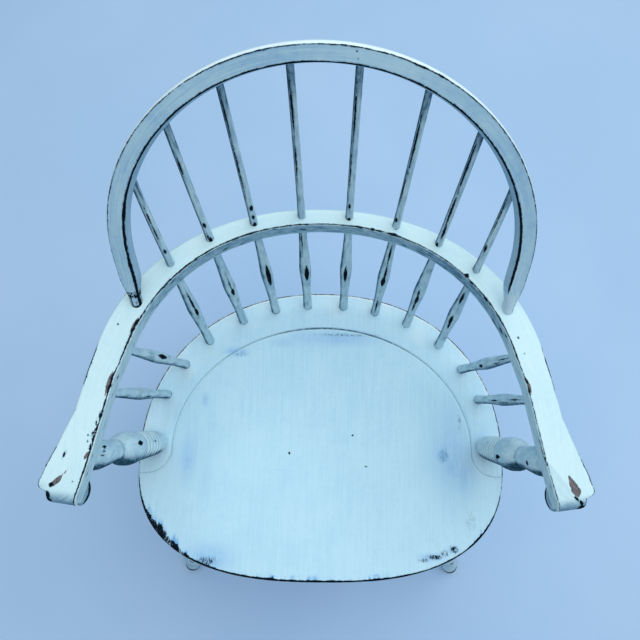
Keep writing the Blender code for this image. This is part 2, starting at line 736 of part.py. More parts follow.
def leg_profile(length, joint):
    """Foot, ankle, swell at the stretcher, ring and bulb above it, and the tenon; lengths along the leg."""
    upper = length - joint
    calf = mix(LEG_ANKLE_RADIUS, LEG_SWELL_RADIUS, 0.6)
    bulb_low = mix(LEG_COVE_RADIUS, LEG_BULB_RADIUS, 0.75)
    bulb_high = mix(LEG_NECK_RADIUS, LEG_BULB_RADIUS, 0.6)
    lower_part = ((0.06, LEG_FOOT_RADIUS), (0.25, LEG_ANKLE_RADIUS), (0.62, calf), (1.0, LEG_SWELL_RADIUS))
    upper_part = ((0.16, LEG_RING_RADIUS), (0.20, LEG_COVE_RADIUS), (0.23, LEG_RING_RADIUS),
                  (0.27, LEG_RING_RADIUS), (0.30, LEG_COVE_RADIUS), (0.40, bulb_low), (0.50, LEG_BULB_RADIUS),
                  (0.62, bulb_high), (0.82, LEG_NECK_RADIUS), (0.94, LEG_TOP_RADIUS))
    profile = [(-FLOOR_TRIM, LEG_FOOT_RADIUS * 0.92)]
    profile += [(joint * share, radius) for share, radius in lower_part]
    profile += [(joint + upper * share, radius) for share, radius in upper_part]
    profile.append((length + LEG_SEAT_DEPTH, LEG_TOP_RADIUS))
    return profile


def floor_cutter():
    """A slab whose top face is the floor, to trim the feet level."""
    mesh = bpy.data.meshes.new("floor_cutter")
    work = bmesh.new()
    bmesh.ops.create_cube(work, size=1.0)
    work.to_mesh(mesh)
    work.free()
    slab = bpy.data.objects.new("floor_cutter", mesh)
    reach = 4 * max(FRONT_FOOT[0], REAR_FOOT[0], REAR_FOOT[1] - FRONT_FOOT[1])
    depth = 4 * FLOOR_TRIM
    slab.scale = (reach, reach, depth)
    slab.location = (0.0, 0.0, -depth / 2)
    return slab


def stretcher_profile(length, sink):
    """Slim ends and a swelled middle, reaching sink past both ends of the given length."""
    shares = ((0.0, 0.0), (0.12, 0.12), (0.32, 0.72), (0.5, 1.0), (0.68, 0.72), (0.88, 0.12), (1.0, 0.0))
    profile = [(-sink, STRETCHER_END_RADIUS)]
    for share, swell in shares:
        profile.append((length * share, mix(STRETCHER_END_RADIUS, STRETCHER_MIDDLE_RADIUS, swell)))
    profile.append((length + sink, STRETCHER_END_RADIUS))
    return profile


def stretcher_between(name, start, end, start_radius, end_radius, *sockets):
    """A stretcher whose ends reach STRETCHER_SOCKET_DEPTH past the surfaces of what holds them."""
    way = (end - start).normalized()
    low, high = start + way * start_radius, end - way * end_radius
    profile = stretcher_profile((high - low).length, STRETCHER_SOCKET_DEPTH)
    stretcher = add_piece(turned(name, profile, low, high), TURNED_PAINT)
    for sets in sockets:
        add_cutter(turned(name + "_cutter", grown(profile, JOINT_CLEARANCE), low, high), sets)
    return stretcher


def make_base(seat_sockets):
    trim = floor_cutter()
    trim_set = cutter_set("floor_trim")
    add_cutter(trim, trim_set)
    joints = {}
    leg_sockets = {}
    for end, top_xy, foot_xy in (("front", FRONT_LEG_TOP, FRONT_FOOT), ("rear", REAR_LEG_TOP, REAR_FOOT)):
        for side, word in ((-1, "left"), (1, "right")):
            foot, top = leg_line(top_xy, foot_xy, side)
            length = (top - foot).length
            joint = length * STRETCHER_HEIGHT / SEAT_UNDERSIDE
            profile = leg_profile(length, joint)
            name = "leg_%s_%s" % (end, word)
            leg = add_piece(turned(name, profile, foot, top), TURNED_PAINT)
            add_cutter(turned(name + "_cutter", grown(profile, JOINT_CLEARANCE), foot, top), seat_sockets)
            leg_sockets[end, side] = cutter_set(name + "_sockets")
            cut_with(leg, trim_set)
            cut_with(leg, leg_sockets[end, side])
            joints[end, side] = foot.lerp(top, joint / length)
    middles = {}
    side_sockets = {}
    for side, word in ((-1, "left"), (1, "right")):
        front, rear = joints["front", side], joints["rear", side]
        sets = (leg_sockets["front", side], leg_sockets["rear", side])
        name = "stretcher_side_" + word
        bar = stretcher_between(name, front, rear, LEG_SWELL_RADIUS, LEG_SWELL_RADIUS, *sets)
        middles[side] = front.lerp(rear, 0.5)
        side_sockets[side] = cutter_set(name + "_sockets")
        cut_with(bar, side_sockets[side])
    stretcher_between("stretcher_center", middles[-1], middles[1], STRETCHER_MIDDLE_RADIUS,
                      STRETCHER_MIDDLE_RADIUS, side_sockets[-1], side_sockets[1])


def center_on_floor():
    """Move the whole chair so that the middle of its outline in plan is the origin."""
    bpy.context.view_layer.update()
    graph = bpy.context.evaluated_depsgraph_get()
    depths = []
    for obj in PARTS.objects:
        if obj.type != "MESH":
            continue
        shape = obj.evaluated_get(graph)
        depths += [(shape.matrix_world @ vertex.co).y for vertex in shape.data.vertices]
    ROOT.location.y = -(min(depths) + max(depths)) / 2
    bpy.context.view_layer.update()


def main():
    seat_sockets = cutter_set("seat_sockets")
    arm_sockets = cutter_set("arm_sockets")
    bow_sockets = cutter_set("bow_sockets")
    make_seat(seat_sockets)
    make_base(seat_sockets)
    make_arm_rail(arm_sockets)
    make_hand_scroll(-1, "hand_scroll_left")
    make_hand_scroll(1, "hand_scroll_right")
    make_bow(bow_sockets)
    add_bow_foot_cutters(arm_sockets)
    make_arm_posts(seat_sockets, arm_sockets)
    make_long_spindles(seat_sockets, arm_sockets, bow_sockets)
    make_short_spindles(seat_sockets, arm_sockets)
    center_on_floor()


main()
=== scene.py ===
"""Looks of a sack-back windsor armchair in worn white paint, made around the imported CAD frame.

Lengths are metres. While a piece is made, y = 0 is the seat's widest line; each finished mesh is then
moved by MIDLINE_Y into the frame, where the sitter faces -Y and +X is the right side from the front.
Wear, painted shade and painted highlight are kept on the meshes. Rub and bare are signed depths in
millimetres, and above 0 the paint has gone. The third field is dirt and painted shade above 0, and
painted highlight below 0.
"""
import math
from collections import namedtuple

import bmesh
import bpy
from mathutils import Matrix, Vector, kdtree, noise


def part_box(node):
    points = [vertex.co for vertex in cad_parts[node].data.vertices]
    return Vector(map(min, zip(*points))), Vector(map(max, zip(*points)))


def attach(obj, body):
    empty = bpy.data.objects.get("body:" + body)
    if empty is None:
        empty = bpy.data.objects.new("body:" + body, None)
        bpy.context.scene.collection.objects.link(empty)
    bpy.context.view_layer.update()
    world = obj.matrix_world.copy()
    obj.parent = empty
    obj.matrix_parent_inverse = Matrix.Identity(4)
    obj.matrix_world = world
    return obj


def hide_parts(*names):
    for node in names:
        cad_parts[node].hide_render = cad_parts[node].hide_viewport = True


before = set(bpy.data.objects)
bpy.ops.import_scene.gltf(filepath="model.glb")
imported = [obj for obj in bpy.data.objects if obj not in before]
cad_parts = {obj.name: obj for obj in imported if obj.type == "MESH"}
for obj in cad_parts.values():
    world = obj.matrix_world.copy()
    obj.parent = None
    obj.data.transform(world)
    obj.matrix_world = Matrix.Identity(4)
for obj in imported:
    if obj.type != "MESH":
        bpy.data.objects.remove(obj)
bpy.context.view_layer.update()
FIELDS = ("rub", "bare", "grime_and_painted_light")

# Seat board
SEAT_HEIGHT = 0.445
SEAT_THICKNESS = 0.040
SEAT_WIDTH = 0.505
SEAT_BACK_REACH = 0.235
SEAT_FRONT_REACH = 0.164
SEAT_BACK_FULLNESS = 2.15
SEAT_FRONT_FULLNESS = 2.6
SEAT_TOP_ROUND = 0.005
SEAT_UNDER_CHAMFER = 0.014
SEAT_ANGLE_STEP = 0.5
SADDLE_WIDTH = 0.37
SADDLE_LENGTH = 0.29
SADDLE_DEPTH = 0.008
SADDLE_CENTER_Y = -0.004
SADDLE_BLEND = 0.0015
GUTTER_SIDE_INSET = 0.0440
GUTTER_BACK_INSET = 0.0525
GUTTER_WIDTH = 0.004
GUTTER_DEPTH = 0.0015
GUTTER_FLARE_RADIUS = 0.033
GUTTER_TURN_Y = 0.0087

# Arm rail; half widths are (share of the flare, metres) and (metres behind the hand's front, metres)
ARM_TOP = 0.692
ARM_THICKNESS = 0.025
ARM_BACK_Y = 0.2575
ARM_SHOULDER = (0.2240, 0.1075)
ARM_TIP = (0.2725, -0.0570)
ARM_BACK_HANDLE = 0.120
ARM_SHOULDER_HANDLE = 0.090
ARM_BACK_HALF = 0.0095
ARM_CHAMFER = 0.0012
ARM_EDGE_ROUND = 0.0025
FLARE_IN = ((0.0, 0.0160), (0.20, 0.0150), (0.45, 0.0185), (0.65, 0.0215), (0.90, 0.0235), (1.0, 0.0235))
FLARE_OUT = ((0.0, 0.0155), (0.20, 0.0145), (0.45, 0.0112), (0.65, 0.0145), (0.80, 0.0182))
HAND_OUT = ((0.0, 0.0020), (0.0010, 0.0042), (0.0025, 0.0056), (0.0060, 0.0068), (0.0100, 0.0078),
            (0.0110, 0.0088), (0.0118, 0.0126), (0.0128, 0.0150), (0.0142, 0.0168), (0.0165, 0.0183),
            (0.0215, 0.0190))
HAND_SETBACK = 0.003
HAND_SKEW = 0.15
HAND_SKEW_OUT = -0.009
HAND_SKEW_LENGTH = 0.060
HAND_ROLL_RADIUS = 0.014
HAND_ROLL_WIDTH = 0.0285
HAND_ROLL_SOFT = 0.0014
SCROLL_RADIUS = 0.0135
SCROLL_DROP = 0.020
CHEEK_LENGTH = 0.0255
CHEEK_PROUD = 0.0006
CHEEK_STEPS = 64
# Painted shade over the scroll under each hand and over its cheek
SCROLL_SHADE = 0.55
CHEEK_SHADE = 0.38

# Bow
BOW_LEAN = math.radians(27.6)
BOW_SPAN = 0.404
BOW_FOOT_Y = 0.1552
BOW_STRAIGHT = 0.0686
BOW_RISE = 0.2281
BOW_FACE_WIDTH = 0.0152
BOW_WIDTH = 0.0165
BOW_DEPTH = 0.013
BOW_INNER_SPLAY = 0.0045
BOW_TENON_RADIUS = 0.0062
BOW_TENON_LENGTH = 0.016
BOW_TAPER_LENGTH = 0.040

# Spindles: degrees round the seat, shares along the arm and degrees round the bow
SPINDLE_INSET = 0.0185
SPINDLE_SEAT_DEPTH = 0.010
LONG_SEAT_ANGLES = (5.4, 16.4, 28.7, 43.3)
LONG_ARM_STATIONS = (0.0765, 0.241, 0.415, 0.600)
LONG_BOW_ANGLES = (7.9, 25.0, 42.0, 60.0)
SHORT_SEAT_ANGLES = (56.0, 69.0)
SHORT_ARM_STATIONS = (0.0, 0.304)
SPINDLE_ARM_DEPTH = 0.010
SPINDLE_SEAT_RADIUS = 0.0062
SPINDLE_NECK_RADIUS = 0.0056
SPINDLE_NECK_AT = 0.22
SPINDLE_BULGE_RADIUS = 0.0079
SPINDLE_BULGE_AT = 0.50
SPINDLE_ARM_RADIUS = 0.0045
SPINDLE_UPPER_RADIUS = 0.0040
SPINDLE_UPPER_AT = 0.16
SPINDLE_TOP_RADIUS = 0.0033
SPINDLE_STEPS = 150
SPINDLE_LOWER_SOFTENING = 0.06
SPINDLE_UPPER_SOFTENING = 0.05

# Arm posts: (share of the height between seat and arm, radius), and the turned rings
POST_INSET = 0.026
POST_SEAT_ANGLE = 86.0
POST_ARM_STATION = 0.7275
POST_SINK = 0.010
POST_SHAPE = ((0.0, 0.0085), (0.005, 0.0100), (0.02, 0.0122), (0.05, 0.0148), (0.10, 0.0162),
              (0.16, 0.0170), (0.30, 0.0182), (0.37, 0.0188), (0.385, 0.0186), (0.40, 0.0198),
              (0.43, 0.0206), (0.475, 0.0208), (0.54, 0.0190), (0.585, 0.0150), (0.61, 0.0118),
              (0.62, 0.0134), (0.65, 0.0136), (0.66, 0.0128), (0.72, 0.0152), (0.82, 0.0172),
              (0.92, 0.0158), (0.985, 0.0135))
POST_NECK_AT = 0.61
POST_TOP_AT = 1.004
POST_STEPS = 260
POST_SOFTENING = 0.016
POST_GROOVES = (0.07, 0.18, 0.225, 0.27, 0.315, 0.36)
POST_GROOVE_HALF = 0.013
POST_GROOVE_DEPTH = 0.0020

# Legs and stretchers
FRONT_LEG_TOP = (0.165, -0.080)
FRONT_FOOT = (0.249, -0.192)
REAR_LEG_TOP = (0.150, 0.140)
REAR_FOOT = (0.215, 0.268)
LEG_SINK = 0.012
LEG_TOP_RADIUS = 0.0115
LEG_NECK_RADIUS = 0.0120
LEG_BULB_RADIUS = 0.0215
LEG_COVE_RADIUS = 0.0125
LEG_RING_RADIUS = 0.0168
LEG_SWELL_RADIUS = 0.0195
LEG_ANKLE_RADIUS = 0.0130
LEG_FOOT_RADIUS = 0.0152
LEG_STEPS = 150
LEG_SOFTENING = 0.008
STRETCHER_HEIGHT = 0.185
STRETCHER_END_RADIUS = 0.0080
STRETCHER_MIDDLE_RADIUS = 0.0128
STRETCHER_SINK = 0.006
STRETCHER_STEPS = 80
STRETCHER_SOFTENING = 0.12
# Length of the dark ring at each foot: rubbed paint and painted contact shadow where it meets the floor
FOOT_WEAR_AND_SHADOW_MM = 9.0

# Corners in one ring of each kind of round piece
SPINDLE_SIDES = 28
POST_SIDES = 56
LEG_SIDES = 40
STRETCHER_SIDES = 36

# Camera: place from the seat's widest line, turn from straight ahead, look down, tilt and image centre
CAMERA_PLACE = Vector((0.0095, -0.0254, 1.4208))
CAMERA_YAW = math.radians(6.3393)
CAMERA_PITCH = math.radians(76.3501)
CAMERA_ROLL = math.radians(7.3157)
CAMERA_SENSOR_MM = 36.0
CAMERA_FOCAL_PIXELS = 688.42
CAMERA_CENTER = (350.0, 310.23)
PICTURE_PIXELS = 640

# Light and floor
SKY_COLOR = (0.92, 0.97, 1.0, 1.0)
SKY_STRENGTH = 0.27
LAMP_PLACE = Vector((0.55, 0.55, 3.4))
LAMP_TARGET = Vector((0.0, 0.0, 0.5))
LAMP_SIZE = 4.0
LAMP_POWER = 96.0
LAMP_COLOR = (0.96, 0.98, 1.0)
FLOOR_REACH = 4.0
FLOOR_ROUGHNESS = 0.9
FLOOR_CLOUD_SCALE = 2.2

# Colours, linear RGB
# Thinned paint beside wear; as the stain colour of the turned and bow paints it also carries painted shade
THIN_PAINT_AND_SHADE = (0.08, 0.21, 0.32)
# Pale colour of painted highlight, where the third wear field is below 0
HIGHLIGHT_PAINT = (0.80, 0.97, 1.0)
RAIL_LIGHT = (0.61, 0.86, 0.93)
DEEP_SHADE = (0.014, 0.065, 0.11)
WORN_BLACK = (0.001, 0.005, 0.011)
WORN_BROWN = (0.007, 0.015, 0.023)
BARE_LIGHT = (0.20, 0.185, 0.19)
BARE_DARK = (0.06, 0.068, 0.082)
# Colour of the painted shade in the seat's gutter
GUTTER_SHADE = (0.03, 0.11, 0.19)
FLOOR_LIGHT = (0.46, 0.685, 0.96)
FLOOR_DARK = (0.43, 0.66, 0.94)

# Paints: tones, the colour of stains and painted shade, brush strokes per metre, and how far specks
# and flakes make the edge of a chip stray
Paint = namedtuple("Paint", "light dark stain strokes_along strokes_across speck_mm flake_mm")
SEAT_PAINT = Paint(light=(0.53, 0.82, 0.97), dark=(0.45, 0.74, 0.93), stain=(0.09, 0.36, 0.80),
                   strokes_along=9.0, strokes_across=260.0, speck_mm=0.5, flake_mm=0.7)
RAIL_PAINT = Paint(light=RAIL_LIGHT, dark=(0.53, 0.79, 0.89), stain=(0.11, 0.29, 0.47),
                   strokes_along=12.0, strokes_across=260.0, speck_mm=0.55, flake_mm=0.6)
BOW_PAINT = Paint(light=(0.56, 0.85, 1.0), dark=(0.32, 0.59, 0.86), stain=THIN_PAINT_AND_SHADE,
                  strokes_along=14.0, strokes_across=420.0, speck_mm=0.40, flake_mm=0.5)
TURNED_PAINT = Paint(light=(0.66, 0.92, 1.0), dark=(0.40, 0.66, 0.84), stain=THIN_PAINT_AND_SHADE,
                     strokes_along=40.0, strokes_across=120.0, speck_mm=0.40, flake_mm=0.5)

# Noise in the paint, in waves per metre, its weight at the edge of a chip, and the relief of the paint
CLOUD_SCALE = 14.0
MOTTLE_SCALE = 150.0
SPECK_SCALE = 620.0
CHAR_SCALE = 260.0
FLAKES_ALONG = 150.0
FLAKES_ACROSS = 620.0
EDGE_STRAY = 4.0
BUMP_STRENGTH = 0.35
BUMP_DISTANCE = 0.0006

# Seeds of the noise in the wear
RIM_SEED, RIM_STREAK_SEED, RIM_HAIR_SEED = 3.0, 5.0, 6.0
ARM_EDGE_SEED, ARM_OUTER_SEED, ARM_INNER_SEED, ARM_LOWER_SEED, ARM_DISH_SEED = 11.0, 13.0, 14.0, 15.0, 17.0
SCROLL_SEED, CHEEK_SEED = 21.0, 23.0
BOW_INNER_SEED, BOW_OUTER_SEED, BOW_RIM_SEED, BOW_SPLAY_SEED = 31.0, 32.0, 33.0, 34.0
BOW_FOOT_SEEDS = (35.0, 36.0)
POST_SEED = 41.0
POST_PATCH_SEED = 7.0
SHORT_SPINDLE_SEED, SPINDLE_STREAK_SEED, SPINDLE_JOINT_SEED = 20, 50.0, 70.0
LEG_SEED, BASE_PATCH_SEED = 61.0, 9.0

SIDES = ((-1, "left"), (1, "right"))
GRAIN_UV = "grain"
SMOOTH_ANGLE = math.radians(40.0)
MM = 0.001
DEEPEST_MM = 8.0
MARK_POINTED = 1.4
MIDLINE_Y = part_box("seat")[1].y - SEAT_BACK_REACH
UP = Vector((0.0, 0.0, 1.0))
RIGHT = Vector((1.0, 0.0, 0.0))
SITTER_HEAD = Vector((0.0, 0.0, 1.45))


def mix(a, b, t):
    return a + (b - a) * t


def smooth_step(t):
    t = min(max(t, 0.0), 1.0)
    return t * t * (3.0 - 2.0 * t)


def rising(value, start, soft):
    """0 up to a start, then rising to 1 over a soft distance."""
    return smooth_step((value - start) / soft)


def mirrored(point):
    return Vector((-point.x, point.y, point.z))


def on_side(point, side):
    return point if side > 0 else mirrored(point)


def wander(value, seed):
    """Smooth repeatable noise between about -1 and 1 along one line."""
    return noise.noise(Vector((value, seed * 7.31, seed * 3.17)))


# Materials

class Graph:
    """Adds nodes to a material and links them."""

    def __init__(self, material):
        self.tree = material.node_tree

    def add(self, kind, inputs=None, **settings):
        node = self.tree.nodes.new(kind)
        for key, value in settings.items():
            setattr(node, key, value)
        for key, value in (inputs or {}).items():
            self.feed(node.inputs[key], value)
        return node

    def feed(self, socket, value):
        if isinstance(value, bpy.types.NodeSocket):
            self.tree.links.new(value, socket)
        elif isinstance(value, tuple) and len(value) == 3 and socket.type == "RGBA":
            socket.default_value = (*value, 1.0)
        else:
            socket.default_value = value

    def math(self, operation, a, b=0.0):
        return self.add("ShaderNodeMath", {0: a, 1: b}, operation=operation).outputs[0]

    def weighed(self, a, share_a, b, share_b):
        """Sum of two values, each times its own share."""
        return self.math("ADD", self.math("MULTIPLY", a, share_a), self.math("MULTIPLY", b, share_b))

    def attribute(self, name):
        return self.add("ShaderNodeAttribute", attribute_name=name).outputs["Fac"]

    def noise(self, vector, scale, detail=2.0, roughness=0.5):
        inputs = {"Vector": vector, "Scale": scale, "Detail": detail, "Roughness": roughness}
        return self.add("ShaderNodeTexNoise", inputs).outputs["Fac"]

    def stretched(self, vector, scale):
        return self.add("ShaderNodeMapping", {"Vector": vector, "Scale": scale}).outputs["Vector"]

    def step(self, value, low, high, to_low=0.0, to_high=1.0):
        inputs = {"Value": value, "From Min": low, "From Max": high, "To Min": to_low, "To Max": to_high}
        return self.add("ShaderNodeMapRange", inputs, interpolation_type="SMOOTHSTEP").outputs["Result"]

    def blend(self, factor, a, b):
        node = self.add("ShaderNodeMix", data_type="RGBA")
        for index, value in ((0, factor), (6, a), (7, b)):
            self.feed(node.inputs[index], value)
        return node.outputs[2]


def new_material(name):
    material = bpy.data.materials.new(name)
    material.use_nodes = True
    return material, material.node_tree.nodes["Principled BSDF"]


def worn_paint(name, kind, grooved=False):
    """Brushed paint, stained, darkened by painted shade and lightened by painted highlight, thinned and
    rubbed through to dark wood where the fields say so.
    """
    material, shader = new_material(name)
    graph = Graph(material)
    place = graph.add("ShaderNodeTexCoord").outputs["Object"]
    grain = graph.add("ShaderNodeUVMap", uv_map=GRAIN_UV).outputs["UV"]
    bristles = graph.stretched(grain, (kind.strokes_along, kind.strokes_across, 1.0))
    hairs = graph.stretched(grain, (kind.strokes_along * 2.5, kind.strokes_across * 3.0, 1.0))
    broad = graph.noise(bristles, 1.0, 3.0, 0.6)
    fine = graph.noise(hairs, 1.0)
    clouds = graph.noise(place, CLOUD_SCALE, 4.0, 0.6)
    mottle = graph.noise(place, MOTTLE_SCALE, 3.0, 0.6)
    strokes = graph.weighed(broad, 0.55, fine, 0.45)
    patches = graph.weighed(clouds, 0.6, mottle, 0.4)
    tone = graph.weighed(strokes, 0.5, patches, 0.5)
    paint = graph.blend(graph.step(tone, 0.36, 0.60), kind.dark, kind.light)
    blotch = graph.step(graph.weighed(mottle, 0.5, fine, 0.5), 0.36, 0.62, 0.60, 1.0)
    grime_and_painted_light = graph.attribute("grime_and_painted_light")
    # Below 0 the field lightens the paint to a painted highlight.
    paint = graph.blend(graph.step(grime_and_painted_light, -1.0, 0.0, 1.0, 0.0), paint, HIGHLIGHT_PAINT)
    # Above 0 the field darkens the paint with dirt and painted shade, first to the stain colour, then to
    # DEEP_SHADE.
    soil_and_shade = graph.math("MULTIPLY", graph.math("MAXIMUM", grime_and_painted_light, 0.0), blotch)
    paint = graph.blend(graph.step(soil_and_shade, 0.0, 0.6), paint, kind.stain)
    paint = graph.blend(graph.step(soil_and_shade, 0.45, 0.9), paint, DEEP_SHADE)

    speck = graph.math("SUBTRACT", graph.noise(place, SPECK_SCALE, 4.0, 0.65), 0.5)
    flake_place = graph.stretched(grain, (FLAKES_ALONG, FLAKES_ACROSS, 1.0))
    flake = graph.math("SUBTRACT", graph.noise(flake_place, 1.0, 3.0, 0.6), 0.5)
    jitter = graph.weighed(speck, kind.speck_mm * EDGE_STRAY, flake, kind.flake_mm * EDGE_STRAY)
    rub = graph.math("ADD", graph.attribute("rub"), jitter)
    bare = graph.math("ADD", graph.attribute("bare"), graph.math("MULTIPLY", jitter, 0.8))
    thinned = graph.step(rub, -0.9, 0.1, 0.0, 0.55)
    worn = graph.step(rub, -0.10, 0.20)
    opened = graph.step(bare, -0.15, 0.25)
    black = graph.blend(graph.noise(place, CHAR_SCALE, 3.0), WORN_BLACK, WORN_BROWN)
    wood = graph.blend(graph.step(flake, -0.15, 0.15), BARE_DARK, BARE_LIGHT)
    color = graph.blend(thinned, paint, THIN_PAINT_AND_SHADE)
    height = graph.math("MULTIPLY", strokes, 0.5)
    if grooved:
        cut, color = groove_line(graph, color, broad, jitter)
        height = graph.math("SUBTRACT", height, cut)
    color = graph.blend(opened, color, wood)
    color = graph.blend(worn, color, black)
    gone = graph.math("MAXIMUM", worn, opened)
    brushed = graph.step(strokes, 0.3, 0.7, 0.50, 0.62)
    roughness = graph.math("ADD", brushed, graph.math("MULTIPLY", gone, 0.25))
    height = graph.math("SUBTRACT", height, graph.math("MULTIPLY", gone, 0.5))
    relief = {"Height": height, "Strength": BUMP_STRENGTH, "Distance": BUMP_DISTANCE}
    graph.feed(shader.inputs["Base Color"], color)
    graph.feed(shader.inputs["Roughness"], roughness)
    dull = graph.math("MAXIMUM", worn, graph.step(soil_and_shade, 0.3, 0.8))
    graph.feed(shader.inputs["Specular IOR Level"], graph.step(dull, 0.0, 1.0, 0.25, 0.02))
    graph.feed(shader.inputs["Normal"], graph.add("ShaderNodeBump", relief).outputs["Normal"])
    return material


def groove_line(graph, color, broad, jitter):
    """A crisp incised line darkened with painted shade where the groove distance crosses zero, with a pale
    painted highlight on the lip on its inner side.
    """
    signed = graph.attribute("groove")
    darkening = graph.attribute("darkening")
    away = graph.math("ABSOLUTE", graph.math("ADD", signed, graph.math("MULTIPLY", jitter, 0.5)))
    away = graph.math("DIVIDE", away, graph.step(darkening, 0.3, 1.0, 0.8, 1.5))
    cut = graph.step(away, 0.35, 1.15, 1.0, 0.0)
    lip = graph.step(graph.math("ABSOLUTE", graph.math("ADD", signed, 2.0)), 0.5, 1.5, 0.6, 0.0)
    patchy = graph.step(broad, 0.35, 0.60, 0.6, 1.0)
    deep = graph.math("MULTIPLY", graph.math("MULTIPLY", cut, darkening), patchy)
    # Painted highlight on the lip, then painted shade in the groove.
    color = graph.blend(lip, color, RAIL_LIGHT)
    return cut, graph.blend(deep, color, GUTTER_SHADE)


def floor_material():
    material, shader = new_material("plain_floor")
    graph = Graph(material)
    place = graph.add("ShaderNodeTexCoord").outputs["Object"]
    clouds = graph.step(graph.noise(place, FLOOR_CLOUD_SCALE, 3.0), 0.35, 0.65)
    graph.feed(shader.inputs["Base Color"], graph.blend(clouds, FLOOR_DARK, FLOOR_LIGHT))
    shader.inputs["Roughness"].default_value = FLOOR_ROUGHNESS
    return material


# Meshes

def add_object(name, data):
    obj = bpy.data.objects.new(name, data)
    bpy.context.scene.collection.objects.link(obj)
    return obj


def finish_mesh(mesh):
    """Turn all faces outwards, move the mesh into the frame and shade it smooth between sharp edges."""
    work = bmesh.new()
    work.from_mesh(mesh)
    bmesh.ops.recalc_face_normals(work, faces=work.faces)
    work.to_mesh(mesh)
    work.free()
    mesh.transform(Matrix.Translation((0.0, MIDLINE_Y, 0.0)))
    mesh.shade_smooth()
    mesh.set_sharp_from_angle(angle=SMOOTH_ANGLE)


def add_piece(node, material, points, faces, uvs, fields):
    """Make one painted piece that stands for a CAD node."""
    name = "worn_" + node
    mesh = bpy.data.meshes.new(name)
    mesh.from_pydata(points, [], faces)
    layer = mesh.uv_layers.new(name=GRAIN_UV)
    layer.data.foreach_set("uv", [value for uv in uvs for value in uv])
    for key, values in fields.items():
        attribute = mesh.attributes.new(key, "FLOAT", "POINT")
        attribute.data.foreach_set("value", values)
    finish_mesh(mesh)
    obj = add_object(name, mesh)
    mesh.materials.append(material)
    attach(obj, "root")
    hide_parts(node)


def circle(steps):
    """Cosine and sine at even steps round a circle."""
    turns = [2.0 * math.pi * k / steps for k in range(steps)]
    return [(math.cos(turn), math.sin(turn)) for turn in turns]


def path_lengths(path):
    """Distance along a path at each of its points."""
    total, lengths = 0.0, [0.0]
    for near, far in zip(path, path[1:]):
        total += (far - near).length
        lengths.append(total)
    return lengths


def skin(rings, along):
    """Points, faces and grain coordinates of a closed body through rings; v runs round each ring."""
    count = len(rings[0])
    girths = [path_lengths(ring + ring[:1]) for ring in rings]
    points = [point for ring in rings for point in ring]
    faces, uvs = [], []
    for i in range(len(rings) - 1):
        for j in range(count):
            k = (j + 1) % count
            faces.append((i * count + j, i * count + k, (i + 1) * count + k, (i + 1) * count + j))
            uvs.append((along[i], girths[i][j]))
            uvs.append((along[i], girths[i][j + 1]))
            uvs.append((along[i + 1], girths[i + 1][j + 1]))
            uvs.append((along[i + 1], girths[i + 1][j]))
    last = (len(rings) - 1) * count
    faces.append(tuple(range(count)))
    faces.append(tuple(range(last, last + count)))
    for index in (0, -1):
        uvs += [(along[index], mark) for mark in girths[index][:-1]]
    return points, faces, uvs, girths


def both_sides(rings, along):
    """Rings and lengths of a right half, with the mirrored left half put before them."""
    left = [[mirrored(point) for point in ring] for ring in reversed(rings[1:])]
    return left + rings, [-value for value in reversed(along[1:])] + along


def rounded_outline(corners):
    """A closed outline through (x, y, radius, pieces after it) corners, and each corner's index."""
    arc_steps = 3
    outline, middles = [], []
    count = len(corners)
    spots = [Vector(corner[:2]) for corner in corners]
    ends = []
    for i, (_, _, radius, _) in enumerate(corners):
        before, here, after = spots[i - 1], spots[i], spots[(i + 1) % count]
        cut = min(radius, 0.45 * (here - before).length, 0.45 * (after - here).length)
        way_back, way_on = (before - here).normalized(), (after - here).normalized()
        ends.append((here + way_back * cut, here + way_on * cut))
    for i, (_, _, _, pieces) in enumerate(corners):
        start, end = ends[i]
        middles.append(len(outline) + arc_steps // 2 + arc_steps % 2)
        for step in range(arc_steps + 1):
            t = step / arc_steps
            outline.append(start * (1 - t) ** 2 + spots[i] * 2 * t * (1 - t) + end * t * t)
        target = ends[(i + 1) % count][0]
        for step in range(1, pieces):
            outline.append(end.lerp(target, step / pieces))
    return outline, middles


# Wear fields

def clamp_depth(depth):
    return min(max(depth, -DEEPEST_MM), DEEPEST_MM)


def wear_row(rub, grime_and_painted_light, bare=-DEEPEST_MM):
    """The wear of one point, in the order of FIELDS."""
    return clamp_depth(rub), clamp_depth(bare), grime_and_painted_light


def edge_rub(distance, along, seed, mean_mm, swing_mm, scale=45.0):
    """Depth of wear at a distance from an edge; the rubbed width comes and goes along it."""
    swing = wander(along * scale, seed) + 0.6 * wander(along * scale * 3.7, seed + 5.0)
    return mean_mm + swing_mm * swing - abs(distance) / MM


def mark_depth(along, across, mark):
    """Signed depth in mm inside a pointed oval mark: along, across, length, width and lean."""
    center_along, center_across, length, width, lean = mark
    du, dv = along - center_along, across - center_across
    dv -= du * lean
    along_share, across_share = abs(du) / (length / 2), abs(dv) / (width / 2)
    share = (along_share ** MARK_POINTED + across_share ** MARK_POINTED) ** (1.0 / MARK_POINTED)
    return (1.0 - share) * min(length, width) / 2 / MM


def deepest(along, across, marks):
    """Depth inside whichever of the marks is deepest here."""
    near = [mark for mark in marks if abs(mark[0] - along) < mark[2]]
    return max((mark_depth(along, across, mark) for mark in near), default=-DEEPEST_MM)


def bump_between(value, low, high, soft):
    """1 between low and high, falling to 0 over a soft distance outside them."""
    return smooth_step((value - low) / soft + 1.0) * smooth_step((high - value) / soft + 1.0)


def linear(pairs, place):
    """Value at a place on straight lines between (place, value) pairs of rising place."""
    if place <= pairs[0][0]:
        return pairs[0][1]
    for (low, first), (high, second) in zip(pairs, pairs[1:]):
        if place <= high:
            return mix(first, second, (place - low) / (high - low))
    return pairs[-1][1]


